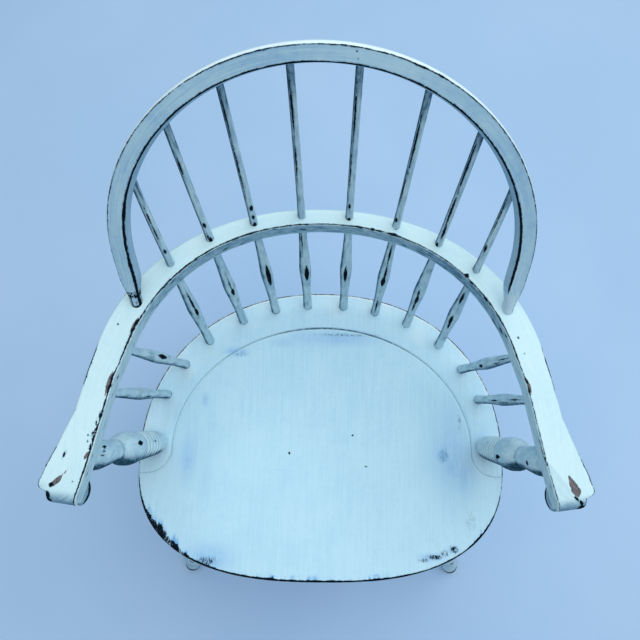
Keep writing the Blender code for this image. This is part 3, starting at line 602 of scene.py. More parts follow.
def skin_noise(length, degrees, waves, seed):
    """Noise on a round piece; waves gives waves per metre along it and degrees for one wave round it."""
    per_metre, wave_degrees = waves
    return noise.noise(Vector((length * per_metre, degrees / wave_degrees, seed)))


def columns_of(wear):
    """The wear of all points as one list per field."""
    return {name: [row[i] for row in wear] for i, name in enumerate(FIELDS)}


# Places on the seat, the arm rail and the bow

def seat_curve(angle, half_width, back_reach, front_reach):
    """Point on a seat-shaped outline of the given reach; 0 degrees is the back, 180 the front."""
    s, c = math.sin(math.radians(angle)), math.cos(math.radians(angle))
    back = c >= 0
    power = 2.0 / (SEAT_BACK_FULLNESS if back else SEAT_FRONT_FULLNESS)
    reach = back_reach if back else front_reach
    return math.copysign(abs(s) ** power, s) * half_width, math.copysign(abs(c) ** power, c) * reach


def seat_inset(angle, inset, share=1.0):
    return seat_curve(angle, (SEAT_WIDTH / 2 - inset) * share, (SEAT_BACK_REACH - inset) * share,
                      (SEAT_FRONT_REACH - inset) * share)


def seat_point(angle, inset):
    return Vector((*seat_inset(angle, inset), SEAT_HEIGHT))


ARM_UNDERSIDE = ARM_TOP - ARM_THICKNESS
ARM_MIDDLE = ARM_TOP - ARM_THICKNESS / 2
SHOULDER = Vector((*ARM_SHOULDER, ARM_MIDDLE))
TIP = Vector((*ARM_TIP, ARM_MIDDLE))
ARM_FLARE = (TIP - SHOULDER).normalized()
ARM_BACK = Vector((0.0, ARM_BACK_Y, ARM_MIDDLE))
ARM_BEZIER = (ARM_BACK, ARM_BACK + RIGHT * ARM_BACK_HANDLE,
              SHOULDER - ARM_FLARE * ARM_SHOULDER_HANDLE, SHOULDER)


def arm_bend_point(station):
    """Point on the bent part of the arm's centre line, 0 at the back and 1 at the shoulder."""
    a, b, c, d = ARM_BEZIER
    t, r = station, 1.0 - station
    return a * r ** 3 + b * 3 * r * r * t + c * 3 * r * t * t + d * t ** 3


def arm_bend_heading(station):
    a, b, c, d = ARM_BEZIER
    t, r = station, 1.0 - station
    return ((b - a) * r * r + (c - b) * 2 * r * t + (d - c) * t * t).normalized()


def seat_to_arm(seat_angle, inset, station):
    """Ends of a straight piece from the seat to the flare of the arm, and its length under the arm."""
    base, top = seat_point(seat_angle, inset), SHOULDER.lerp(TIP, station)
    axis = top - base
    return base, top, axis.length * (ARM_UNDERSIDE - base.z) / axis.z


def sideways(heading):
    """The level direction away from the sitter, for a heading towards the right hand."""
    return Vector((-heading.y, heading.x, 0.0)).normalized()


BOW_HALF_WIDTH = BOW_SPAN / 2
BOW_UP = Vector((0.0, math.sin(BOW_LEAN), math.cos(BOW_LEAN)))
BOW_BACKWARD = Vector((0.0, math.cos(BOW_LEAN), -math.sin(BOW_LEAN)))


def bow_place(x, up):
    return Vector((x, BOW_FOOT_Y, ARM_TOP)) + BOW_UP * up


def bow_arch(angle):
    """Point on the arch and the way out from it; 0 degrees is the crown, 90 the top of a foot."""
    s, c = math.sin(math.radians(angle)), math.cos(math.radians(angle))
    point = bow_place(BOW_HALF_WIDTH * s, BOW_STRAIGHT + BOW_RISE * c)
    outward = RIGHT * (s / BOW_HALF_WIDTH) + BOW_UP * (c / BOW_RISE)
    return point, outward.normalized()


# Seat

def gutter_path():
    """Half an ellipse behind the sitter, turning out to the seat's edge in front of each arm post."""
    half_width = SEAT_WIDTH / 2 - GUTTER_SIDE_INSET
    reach = SEAT_BACK_REACH - GUTTER_BACK_INSET - GUTTER_TURN_Y
    turn = Vector((half_width + GUTTER_FLARE_RADIUS, GUTTER_TURN_Y, 0.0))
    right = []
    steps = 400
    for i in range(steps):
        angle = math.radians(90.0 * i / steps)
        x, y = half_width * math.sin(angle), GUTTER_TURN_Y + reach * math.cos(angle)
        right.append(Vector((x, y, 0.0)))
    for i in range(steps // 4 + 1):
        angle = math.radians(180.0 + 90.0 * i / (steps // 4))
        right.append(turn + Vector((math.cos(angle), math.sin(angle), 0.0)) * GUTTER_FLARE_RADIUS)
    for i in range(1, steps // 5):
        right.append(right[-1] + RIGHT * MM / 2)
    return [mirrored(point) for point in reversed(right[1:])] + right


def saddle_drop(x, y):
    """Depth of the shallow scooped saddle below the deck, with a soft rim."""
    ball_height = SADDLE_DEPTH * 8
    share = math.sqrt(1.0 - ((ball_height - SADDLE_DEPTH) / ball_height) ** 2)
    dx = x / (SADDLE_WIDTH / 2 / share)
    dy = (y - SADDLE_CENTER_Y) / (SADDLE_LENGTH / 2 / share)
    bulge = 1.0 - dx * dx - dy * dy
    drop = ball_height * math.sqrt(bulge) - (ball_height - SADDLE_DEPTH) if bulge > 0 else -SADDLE_DEPTH
    return (drop + math.sqrt(drop * drop + 4 * SADDLE_BLEND ** 2)) / 2


def seat_rings():
    """(inset, share, height) of each ring, from the deck's middle over the edge to the underside."""
    top = SEAT_HEIGHT
    bottom = top - SEAT_THICKNESS
    inner, outer, inner_steps, outer_steps = 0.70, 0.30, 60, 50
    round_steps, side_steps, chamfer_steps = 5, 5, 4
    shares = [i / inner_steps * inner for i in range(1, inner_steps + 1)]
    shares += [inner + outer * i / outer_steps for i in range(1, outer_steps + 1)]
    rings = [(SEAT_TOP_ROUND, share, top) for share in shares]
    for i in range(1, round_steps + 1):
        turn = math.radians(90.0 * i / round_steps)
        inset, drop = SEAT_TOP_ROUND * (1 - math.sin(turn)), SEAT_TOP_ROUND * (1 - math.cos(turn))
        rings.append((inset, 1.0, top - drop))
    side_low = bottom + SEAT_UNDER_CHAMFER
    for i in range(1, side_steps + 1):
        rings.append((0.0, 1.0, mix(top - SEAT_TOP_ROUND, side_low, i / side_steps)))
    for i in range(1, chamfer_steps + 1):
        inset = SEAT_UNDER_CHAMFER * i / chamfer_steps
        rings.append((inset, 1.0, mix(side_low, bottom, i / chamfer_steps)))
    for share in (0.8, 0.5, 0.2):
        rings.append((SEAT_UNDER_CHAMFER, share, bottom))
    return rings


def front_to_back(marks):
    """Marks listed as x, y and more, as (along, across, and more) with along from front to back."""
    return [(y, x, *more) for x, y, *more in marks]


# Marks on the deck: x, y, length front to back, width and lean, in metres
SEAT_DOTS = front_to_back((
    (0.061, -0.012, 0.0036, 0.0034, 0.0), (0.042, 0.031, 0.0036, 0.0034, 0.0),
    (-0.046, 0.005, 0.0038, 0.0036, 0.0)))
# Zones of flecks: x, y, length, width and how near the flecks come to the surface, in mm
SEAT_FLECKS = front_to_back((
    (-0.128, -0.041, 0.016, 0.003, -0.45), (-0.131, -0.080, 0.014, 0.003, -0.45),
    (-0.060, -0.018, 0.002, 0.026, -0.70), (0.108, -0.022, 0.016, 0.002, -0.55),
    (0.074, -0.126, 0.010, 0.003, -0.55), (0.122, 0.128, 0.004, 0.004, -0.30),
    (0.140, -0.134, 0.006, 0.016, 0.05), (0.155, -0.130, 0.007, 0.022, 0.25),
    (0.168, -0.125, 0.012, 0.018, -0.20), (0.181, -0.120, 0.012, 0.014, 0.10),
    (0.205, -0.084, 0.036, 0.022, -0.62), (-0.152, -0.138, 0.014, 0.034, -0.05),
    (0.192, 0.052, 0.034, 0.007, -0.45), (0.030, 0.173, 0.006, 0.120, -0.35),
    (-0.118, 0.142, 0.008, 0.030, -0.45), (0.169, 0.004, 0.026, 0.020, -0.42)))
# Blue stains, and painted shade on the saddle's sides beside the arm posts: x, y, length, width
# and strength
SEAT_STAINS_AND_SHADE = front_to_back((
    (-0.166, 0.076, 0.038, 0.018, 0.30), (0.180, 0.010, 0.280, 0.150, 0.24),
    (0.169, 0.005, 0.066, 0.046, 0.36), (0.182, -0.012, 0.110, 0.076, 0.28),
    (0.196, -0.020, 0.140, 0.090, 0.26), (-0.185, -0.005, 0.140, 0.050, 0.26),
    (-0.160, -0.030, 0.150, 0.040, 0.14), (-0.150, -0.135, 0.080, 0.130, 0.32),
    (0.150, -0.130, 0.020, 0.070, 0.30), (0.180, -0.120, 0.022, 0.034, 0.28),
    (0.020, 0.168, 0.044, 0.260, 0.28), (-0.126, 0.146, 0.026, 0.060, 0.36),
    (-0.060, 0.160, 0.030, 0.070, 0.22)))
# Width in mm of the rubbed line on the rim, by degrees round the seat from the back
RIM_RUB = ((-180, 3.0), (-172, 3.8), (-164, 2.8), (-150, 2.8), (-143, 2.6), (-138, 4.4), (-131, 8.5),
           (-125, 11.0), (-119, 9.0), (-112, 5.5), (-106, 2.8), (-99, 1.8), (-94, 1.0), (-80, 1.3),
           (80, 1.3), (96, 1.0), (104, 1.5), (116, 2.6), (121, 3.8), (127, 3.4), (132, 2.0), (150, 2.0),
           (160, 2.4), (167, 4.2), (173, 2.6), (180, 3.0))
# Waves per metre of the worn streaks across the rim, broad and fine, and of the pale patches of
# painted highlight behind the gutter
RIM_STREAKS = 330.0
RIM_HAIRS = 900.0
HIGHLIGHT_PATCHES = 34.0
# First and last degrees and width in mm of the pale strip outside the worn left front
RIM_PALE_STRIP = (-139.0, -112.0, 1.1)
# Degrees from the back reached by the painted highlight patches on the deck and by the painted highlight on
# the rim
BACK_DECK_DEGREES = 92.0
WHITE_RIM_DEGREES = 60.0
# Darkening of the seat's lower side and underside towards the back, and how far round it reaches
SIDE_DARKENING = 0.15
SIDE_DARKENING_DEGREES = 95.0
# Darkness of the painted shade in the gutter, by degrees round the seat from the back
GUTTER_DARKNESS = ((-180, 0.30), (-60, 0.36), (-24, 0.65), (-10, 1.0), (22, 1.0), (42, 0.60), (75, 0.36),
                   (180, 0.30))


def oval_share(along, across, zone):
    """Distance from the middle of an oval zone; 1 on its rim."""
    center_along, center_across, length, width, _ = zone
    return math.hypot((along - center_along) / (length / 2), (across - center_across) / (width / 2))


def zone_depth(along, across, zone):
    """Level of flecks inside an oval zone, sinking away outside it."""
    return zone[-1] - 1.6 * max(0.0, oval_share(along, across, zone) - 0.5)


def zone_strength(along, across, zones):
    """Strength of soft stains and painted shade, each fading from its middle to its rim."""
    return max(zone[-1] * smooth_step(1.0 - oval_share(along, across, zone)) for zone in zones)


def seat_fields(point, angle, edge_distance):
    """Wear, stains, painted shade and painted highlight on the seat: its rim and the marks on the deck."""
    along = math.radians(angle) * SEAT_WIDTH / 2
    rub = -DEEPEST_MM
    grime_and_painted_light = 0.0
    if point.z > SEAT_HEIGHT - SEAT_THICKNESS / 2:
        wide = linear(RIM_RUB, angle)
        hairs = wander(point.x * RIM_HAIRS, RIM_HAIR_SEED)
        streaks = wander(point.x * RIM_STREAKS, RIM_STREAK_SEED) + 0.7 * hairs
        wide *= 1.0 + 0.45 * streaks * rising(wide, 1.0, 3.0)
        swing = 0.25 + 0.25 * max(wide - 0.5, 0.0)
        rub = edge_rub(edge_distance, along, RIM_SEED, wide, swing)
        first, last, strip = RIM_PALE_STRIP
        if first < angle < last:
            rub = min(rub, edge_distance / MM * 2.0 - strip, 0.50 + 0.9 * streaks)
        rub = max(rub, deepest(point.y, point.x, SEAT_DOTS))
        rub = max(rub, max(zone_depth(point.y, point.x, zone) for zone in SEAT_FLECKS))
        grime_and_painted_light = zone_strength(point.y, point.x, SEAT_STAINS_AND_SHADE)
        fringe = smooth_step(1.0 - (edge_distance / MM - wide) / 9.0) * rising(wide, 1.8, 3.0)
        grime_and_painted_light = max(grime_and_painted_light, 0.55 * fringe * (0.6 + 0.8 * streaks))
        # Painted highlight: a pale strip just inside the rim at the back, and pale patches on the deck
        # behind the gutter.
        white = bump_between(edge_distance / MM, 1.6, 3.2, 0.8)
        white *= 1.0 - rising(abs(angle), WHITE_RIM_DEGREES, 25.0)
        behind = smooth_step((GUTTER_SIDE_INSET - edge_distance) / 0.010)
        behind *= smooth_step((BACK_DECK_DEGREES - abs(angle)) / 6.0)
        highlight_patch = 0.18 + 0.30 * noise.noise(point * HIGHLIGHT_PATCHES)
        grime_and_painted_light -= 0.6 * white + max(highlight_patch, 0.0) * behind
    else:
        grime_and_painted_light = SIDE_DARKENING * smooth_step((SIDE_DARKENING_DEGREES - abs(angle)) / 40.0)
    return wear_row(rub, grime_and_painted_light)


def signed_groove(nearest, x, y, distance, edge_distance):
    """Distance from the gutter in mm: negative towards the sitter, positive towards the spindles."""
    if edge_distance < SEAT_TOP_ROUND / 2:
        return DEEPEST_MM
    here, line = Vector((x, y - GUTTER_TURN_Y)), Vector((nearest.x, nearest.y - GUTTER_TURN_Y))
    outside = here.length > line.length
    if y < GUTTER_TURN_Y:
        outside = abs(x) > abs(nearest.x) or y > nearest.y
    return clamp_depth(distance / MM * (1.0 if outside else -1.0))


def dome_faces(ring_count, columns):
    """Faces of rings that one point closes at each end; the points come in that order."""
    last = 1 + (ring_count - 1) * columns
    end = last + columns
    faces = [(0, 1 + k, 1 + (k + 1) % columns) for k in range(columns)]
    for near in range(1, last, columns):
        far = near + columns
        for k in range(columns):
            n = (k + 1) % columns
            faces.append((near + k, far + k, far + n, near + n))
    return faces + [(last + k, end, last + (k + 1) % columns) for k in range(columns)]


def make_seat(material):
    gutter = gutter_path()
    tree = kdtree.KDTree(len(gutter))
    for index, spot in enumerate(gutter):
        tree.insert(spot, index)
    tree.balance()
    angles = [-180.0 + SEAT_ANGLE_STEP * i for i in range(round(360.0 / SEAT_ANGLE_STEP))]
    rings = seat_rings()
    deck = SEAT_HEIGHT - 1e-6
    rim_drop = SEAT_TOP_ROUND * 0.3
    points = [Vector((0.0, 0.0, SEAT_HEIGHT - saddle_drop(0.0, 0.0)))]
    unworn = wear_row(-DEEPEST_MM, 0.0)
    wear, grooves = [unworn], [-DEEPEST_MM]
    for inset, share, height in rings:
        for angle in angles:
            x, y = seat_inset(angle, inset, share)
            z = height
            _, index, groove_distance = tree.find((x, y, 0.0))
            rim_x, rim_y = seat_inset(angle, rim_drop)
            edge_distance = math.hypot(rim_x - x, rim_y - y) + abs(SEAT_HEIGHT - rim_drop - height)
            if height > deck:
                z -= saddle_drop(x, y)
                z -= GUTTER_DEPTH * max(0.0, 1.0 - (groove_distance / (GUTTER_WIDTH / 2)) ** 2)
            points.append(Vector((x, y, z)))
            wear.append(seat_fields(points[-1], angle, edge_distance))
            past_rim = height < SEAT_HEIGHT - rim_drop
            groove = signed_groove(gutter[index], x, y, groove_distance, edge_distance)
            grooves.append(DEEPEST_MM if past_rim else groove)
    points.append(Vector((0.0, 0.0, SEAT_HEIGHT - SEAT_THICKNESS)))
    wear.append(unworn)
    grooves.append(DEEPEST_MM)
    faces = dome_faces(len(rings), len(angles))
    corners = [points[index] for face in faces for index in face]
    uvs = [(point.y - point.z, point.x) for point in corners]
    fields = columns_of(wear)
    fields["groove"] = grooves
    round_seat = [math.degrees(math.atan2(point.x, point.y)) for point in points]
    fields["darkening"] = [linear(GUTTER_DARKNESS, degrees) for degrees in round_seat]
    add_piece("seat", material, points, faces, uvs, fields)


# Arm rail and its hand-holds

def arm_section(half_in, half_out, top):
    """Outline of the rail's section as (outward, height), starting under the rail."""
    thick = top - ARM_UNDERSIDE
    edge = min(ARM_EDGE_ROUND, thick / 3)
    fine = 0.0004
    corners = ((half_out, ARM_UNDERSIDE, edge, 4), (-half_in, ARM_UNDERSIDE, edge, 12),
               (-half_in, top - ARM_CHAMFER, fine, 1), (-half_in + ARM_CHAMFER, top, fine, 26),
               (half_out, top, edge * 0.8, 6))
    return rounded_outline(corners)


HAND_LENGTH = (TIP - SHOULDER).length - HAND_SETBACK


def flare_station(along):
    """Centre, outward way, half widths, top and forward skew at a distance from the shoulder."""
    share, behind = along / HAND_LENGTH, HAND_LENGTH - along
    wing = HAND_OUT[-1][0]
    half_out = linear(HAND_OUT, behind) if behind <= wing else linear(FLARE_OUT, share)
    rolled = max(0.0, HAND_ROLL_RADIUS - behind)
    top = ARM_TOP - HAND_ROLL_RADIUS + math.sqrt(HAND_ROLL_RADIUS ** 2 - rolled ** 2)
    skew = HAND_SKEW * smooth_step(1.0 - (behind - wing) / HAND_SKEW_LENGTH)
    center, half_in = SHOULDER + ARM_FLARE * along, linear(FLARE_IN, share)
    return center, sideways(ARM_FLARE), half_in, half_out, top, skew


def arm_right_stations():
    """Stations of the rail's sections, from the middle of the back to the right hand."""
    stations = []
    bend_steps, flare_steps, hand_steps = 230, 120, 44
    for i in range(bend_steps + 1):
        t = i / bend_steps
        share = smooth_step(t)
        half_in = mix(ARM_BACK_HALF, FLARE_IN[0][1], share)
        half_out = mix(ARM_BACK_HALF, FLARE_OUT[0][1], share)
        outward = sideways(arm_bend_heading(t))
        stations.append((arm_bend_point(t), outward, half_in, half_out, ARM_TOP, 0.0))
    hand = HAND_LENGTH - HAND_OUT[-1][0]
    stations += [flare_station(hand * i / flare_steps) for i in range(1, flare_steps + 1)]
    for i in range(1, hand_steps + 1):
        share = i / hand_steps
        stations.append(flare_station(mix(hand, HAND_LENGTH, 1.0 - (1.0 - share) ** 1.5)))
    return stations


# Marks on the rail: along from the back's middle (left is negative), across from the sitter's top edge,
# length, width and lean, in metres
ARM_CHIPS = (
    (-0.258, 0.0010, 0.012, 0.0034, 0.0), (-0.268, 0.0012, 0.010, 0.0030, 0.0),
    (-0.3225, 0.0008, 0.010, 0.0026, 0.0), (-0.3340, 0.0006, 0.013, 0.0028, 0.0),
    (-0.364, 0.0012, 0.008, 0.0018, 0.1), (-0.372, 0.0024, 0.006, 0.0018, 0.2),
    (-0.378, 0.0010, 0.009, 0.0018, 0.0), (-0.383, 0.0032, 0.006, 0.0018, -0.2),
    (-0.389, 0.0012, 0.009, 0.0020, 0.1), (-0.392, 0.0056, 0.0026, 0.0016, 0.0),
    (-0.386, 0.0070, 0.002, 0.0015, 0.0), (-0.397, 0.0012, 0.009, 0.0026, 0.0),
    (-0.410, 0.0245, 0.0075, 0.0026, -0.1), (-0.441, 0.0270, 0.0060, 0.0050, 0.0),
    (-0.435, 0.0070, 0.0022, 0.0020, 0.0), (-0.268, 0.0180, 0.0024, 0.0022, 0.0),
    (-0.4525, 0.0285, 0.0110, 0.0080, 0.0), (-0.4570, 0.0265, 0.006, 0.008, 0.0),
    (0.179, 0.0015, 0.006, 0.0050, 0.0), (0.271, 0.0090, 0.0030, 0.0028, 0.0),
    (0.290, 0.0090, 0.0018, 0.0014, 0.0), (0.320, 0.0008, 0.008, 0.0026, 0.0),
    (0.330, 0.0002, 0.010, 0.0024, 0.0), (0.384, -0.0030, 0.012, 0.0022, 0.1),
    (0.394, -0.0030, 0.014, 0.0026, 0.1), (0.403, -0.0015, 0.009, 0.0022, 0.0),
    (0.447, 0.0195, 0.0070, 0.0035, 0.3), (0.4525, 0.0235, 0.007, 0.004, 0.3),
    (0.4575, 0.0235, 0.006, 0.0095, 0.0), (0.080, 0.0005, 0.017, 0.0038, 0.0),
    (0.055, 0.0000, 0.008, 0.0034, 0.0))
ARM_BARE = ((-0.406, 0.0020, 0.013, 0.0040, -0.30), (-0.4365, 0.0230, 0.014, 0.0070, -0.45),
            (-0.4275, 0.0180, 0.015, 0.0020, -0.60), (0.430, 0.0200, 0.016, 0.0050, 0.25),
            (0.4345, 0.0206, 0.018, 0.0085, 0.15), (0.4390, 0.0215, 0.014, 0.0105, 0.05),
            (-0.330, 0.0020, 0.028, 0.0050, 0.0), (-0.262, 0.0022, 0.022, 0.0030, 0.0),
            (0.326, 0.0016, 0.020, 0.0028, 0.0))
# Soft blue stains on the left hand: along, across, length, width and strength
ARM_STAINS = ((-0.452, 0.020, 0.036, 0.046, 0.20), (-0.446, 0.036, 0.024, 0.028, 0.26))
# Painted shade of a shallow dish on the right hand: along, and its width from the sitter's edge
RIGHT_DISH_SHADE = ((0.400, -0.001), (0.412, 0.0060), (0.426, 0.0125), (0.440, 0.0175), (0.455, 0.0205),
              (0.470, 0.0215))

# Stretches of the rail with wear of their own, along from the back's middle: from, to and soft ends
ARM_HEAVY = (-0.345, -0.255, 0.02)
ARM_MIDDLE_RUB = (-0.20, 0.06, 0.03)
ARM_SHOULDERS = (0.300, 0.330, 0.02)
ARM_SPECKLED = (0.13, 0.255, 0.03)
# Places along the rail where kinds of wear, painted shade and painted highlight start or end, and over
# what length
ARM_HANDS = (0.38, 0.04)
ARM_FRONT_SHADE = (0.440, 0.018)
ARM_BACK_ENDS = (0.20, 0.10)
ARM_SLIM = (0.28, 0.04)
ARM_HIGHLIGHT_STRIP = (0.22, 0.04)


def arm_fields(along, across, lower_edge, outer_edge):
    """Wear, dirt, painted shade and painted highlight on the rail; across is measured from the sitter's top
    edge, outwards over the top face.
    """
    hand = rising(abs(along), *ARM_HANDS)
    heavy = bump_between(along, *ARM_HEAVY)
    back = 1.0 - rising(abs(along), *ARM_BACK_ENDS)
    slim = rising(along, *ARM_SLIM)
    middle = bump_between(along, *ARM_MIDDLE_RUB)
    shoulder = bump_between(abs(along), *ARM_SHOULDERS)
    outer_mm = -0.5 + 1.3 * max(hand, shoulder)
    rub = max(edge_rub(across, along, ARM_EDGE_SEED, 0.70 + 0.1 * heavy - 0.35 * slim, 0.45 + 0.2 * heavy),
              edge_rub(across + 0.0035, along, ARM_INNER_SEED, -0.9 + 0.6 * middle, 1.0),
              edge_rub(across - lower_edge, along, ARM_LOWER_SEED, -0.2, 0.7),
              edge_rub(across - outer_edge + 0.0006, along, ARM_OUTER_SEED, outer_mm, 0.5),
              deepest(along, across, ARM_CHIPS))
    inner = smooth_step(-across / 0.0015 - 0.3) * smooth_step((across - lower_edge) / 0.004)
    grime_and_painted_light = zone_strength(along, across, ARM_STAINS)
    if inner > 0.0:
        streak = noise.noise(Vector((along * 95.0, across * 520.0, 3.3)))
        speckled = bump_between(along, *ARM_SPECKLED)
        rub = max(rub, (streak - 0.62 + 0.18 * speckled + 0.08 * back) * 5.0 * inner)
        # Inner faces: dirt in mottled streaks and specks, and painted shade that grows towards the back.
        grime_and_painted_light = inner * (0.10 + 0.30 * back + 0.14 * speckled + 0.35 * max(streak, -0.25))
        # A pale painted highlight along the rounded top of the inner face on the left.
        grime_and_painted_light -= 0.7 * bump_between(-across / MM, 1.4, 2.8, 0.7) * rising(-along, *ARM_HIGHLIGHT_STRIP)
    # Painted shade darkening the top of each hand where it rolls down at the front.
    front = rising(abs(along), *ARM_FRONT_SHADE)
    if across > 0.0:
        # Painted shade in a shallow dish on the top of the right hand.
        dish = smooth_step((linear(RIGHT_DISH_SHADE, along) - across) / 0.0018) if along > 0.0 else 0.0
        dish_shade = 0.20 + 0.10 * wander(along * 90.0 - across * 160.0, ARM_DISH_SEED)
        grime_and_painted_light = max(grime_and_painted_light, dish_shade * dish, 0.55 * front)
    return wear_row(rub, grime_and_painted_light, deepest(along, across, ARM_BARE))


def make_arm_rail(material):
    stations = arm_right_stations()
    rings = []
    for center, outward, half_in, half_out, top, skew in stations:
        outline, corners = arm_section(half_in, half_out, top)
        level = Vector((center.x, center.y, 0.0))
        ring = []
        for out, z in outline:
            ring.append(level + outward * out + ARM_FLARE * (skew * (out - HAND_SKEW_OUT)) + UP * z)
        rings.append(ring)
    rings, along = both_sides(rings, path_lengths([station[0] for station in stations]))
    points, faces, uvs, girths = skin(rings, along)
    wear = []
    for ring_along, marks in zip(along, girths):
        top_edge = marks[corners[3]]
        lower_edge, outer_edge = marks[corners[1]] - top_edge, marks[corners[4]] - top_edge
        for mark in marks[:-1]:
            wear.append(arm_fields(ring_along, mark - top_edge, lower_edge, outer_edge))
    add_piece("arm_rail", material, points, faces, uvs, columns_of(wear))


def lofted(slices, place):
    """Rings of outlines, each a list of (along, height) moved to its own distance outwards."""
    return [[place(out, x, z) for x, z in outline] for out, outline in slices]


def roll_slices():
    """Slices of the roll as (out, outline), from the sitter's side outwards."""
    arc_steps, soft, width = 28, HAND_ROLL_SOFT, HAND_ROLL_WIDTH
    drop = SCROLL_DROP - SCROLL_RADIUS
    half_round = [(-SCROLL_RADIUS, 0.0)]
    for i in range(arc_steps + 1):
        turn = math.pi * i / arc_steps
        half_round.append((-SCROLL_RADIUS * math.cos(turn), -drop - SCROLL_RADIUS * math.sin(turn)))
    half_round.append((SCROLL_RADIUS, 0.0))
    insets = ((0.0, soft), (soft * 0.4, soft * 0.3), (soft, 0.0), (width * 0.4, 0.0), (width * 0.8, 0.0),
              (width * 0.95, soft), (width, soft * 2.5))
    slices = []
    for out, inset in insets:
        share = 1.0 - inset / SCROLL_RADIUS
        slices.append((out, [(x * share, z * share) for x, z in half_round]))
    return slices


CHEEK_LOW = -SCROLL_DROP - 0.0004
CHEEK_HIGH = ARM_THICKNESS - 0.003
CHEEK_MIDDLE = (CHEEK_LOW + CHEEK_HIGH) / 2
CHEEK_HALF = (CHEEK_HIGH - CHEEK_LOW) / 2
# Slices of the cheek from inside the hand to its face: metres out, share of the oval, and rub in mm
CHEEK_SLICES = ((0.0015, 0.94, 0.6), (0.0, 0.985, 0.9), (-CHEEK_PROUD * 0.6, 1.0, 0.7),
                (-CHEEK_PROUD, 0.965, -0.5), (-CHEEK_PROUD, 0.55, -3.0))


def cheek_outline(share):
    """An oval inside the cheek, as a share of its whole size."""
    outline = []
    for c, s in circle(CHEEK_STEPS):
        long = CHEEK_LENGTH / 2 * c * share + SCROLL_RADIUS - CHEEK_LENGTH / 2
        outline.append((long, CHEEK_MIDDLE + CHEEK_HALF * s * share))
    return outline


def make_hand_scroll(side, word, material):
    """The carved roll under an arm's end, and the flat oval cheek that closes it towards the sitter."""
    across = (sideways(ARM_FLARE) + ARM_FLARE * HAND_SKEW).normalized()
    heading = Vector((across.y, -across.x, 0.0))
    front = SHOULDER + ARM_FLARE * HAND_LENGTH + sideways(ARM_FLARE) * HAND_SKEW_OUT
    origin = front - heading * SCROLL_RADIUS - across * (FLARE_IN[-1][1] + HAND_SKEW_OUT)

    def place(out, x, z):
        spot = origin + across * out + heading * x
        spot.z = ARM_UNDERSIDE + z
        return on_side(spot, side)

    roll = roll_slices()
    points, faces, uvs, girths = skin(lofted(roll, place), [out for out, _ in roll])
    wear = []
    # The scroll carries painted shade all over.
    for (out, _), marks in zip(roll, girths):
        for mark in marks[:-1]:
            rub = edge_rub(out - HAND_ROLL_SOFT, mark, SCROLL_SEED + side, 0.2, 0.5)
            wear.append(wear_row(rub, SCROLL_SHADE))
    cheek = [(out, cheek_outline(share)) for out, share, _ in CHEEK_SLICES]
    more_points, more_faces, more_uvs, _ = skin(lofted(cheek, place), [out for out, _ in cheek])
    offset = len(points)
    faces += [tuple(index + offset for index in face) for face in more_faces]
    points += more_points
    uvs += more_uvs
    # The cheek carries painted shade all over, and rubs at its rim.
    for (_, outline), (_, _, rim) in zip(cheek, CHEEK_SLICES):
        for x, z in outline:
            low = (2.9 - 0.6 * side) * smooth_step((CHEEK_MIDDLE - z) / CHEEK_HALF * 1.15)
            rub = rim + low + 0.4 * wander(x * 300.0, CHEEK_SEED + side)
            wear.append(wear_row(rub, CHEEK_SHADE))
    uvs = [(v, u) for u, v in uvs]
    add_piece("hand_scroll_" + word, material, points, faces, uvs, columns_of(wear))


# Bow

def bow_section():
    """Outline of the bow as (outward, backward): flat face to the sitter, rounded back, splayed inside."""
    face, side, deep = BOW_FACE_WIDTH / 2, BOW_WIDTH / 2, BOW_DEPTH / 2
    inner = face + BOW_INNER_SPLAY
    fine, soft = 0.0005, 0.003
    corners = ((side * 0.2, deep, soft, 3), (-face * 0.8, deep, soft, 3), (-inner, deep * 0.55, soft, 1),
               (-inner, deep * 0.15, soft, 5), (-face, -deep, fine, 14), (face, -deep, fine, 2),
               (side, -deep * 0.75, fine, 3), (side * 0.93, -deep * 0.15, soft, 2),
               (side * 0.62, deep * 0.6, soft, 2))
    return rounded_outline(corners)


def bow_ring(outline, center, outward, roundness):
    """One ring of the bow, between its own section (0) and the round tenon (1)."""
    ring = []
    for out, back in outline:
        angle = math.atan2(back, out)
        round_out, round_back = BOW_TENON_RADIUS * math.cos(angle), BOW_TENON_RADIUS * math.sin(angle)
        across = outward * mix(out, round_out, roundness)
        ring.append(center + across + BOW_BACKWARD * mix(back, round_back, roundness))
    return ring


# Marks on the bow: along from the crown (left is negative), across from the inner front edge
BOW_CHIPS = ((0.075, 0.0142, 0.016, 0.0020, 0.0), (0.092, 0.0146, 0.012, 0.0018, 0.0),
             (0.024, 0.011, 0.0018, 0.0016, 0.0), (0.026, 0.005, 0.0016, 0.0015, 0.0))
# Stretches of the bow with wear of their own, along from the crown: from, to and soft ends
BOW_LEFT_LEG = (-0.36, -0.26, 0.04)
BOW_RIGHT_LEG = (0.27, 0.35, 0.04)
# Places along the bow where kinds of wear and the painted highlight start or end, and over what length
BOW_CROWN_ENDS = (0.22, 0.08)
BOW_RIGHT_FOOT = (0.365, 0.02)
BOW_LEFT_FOOT = (0.385, 0.012)


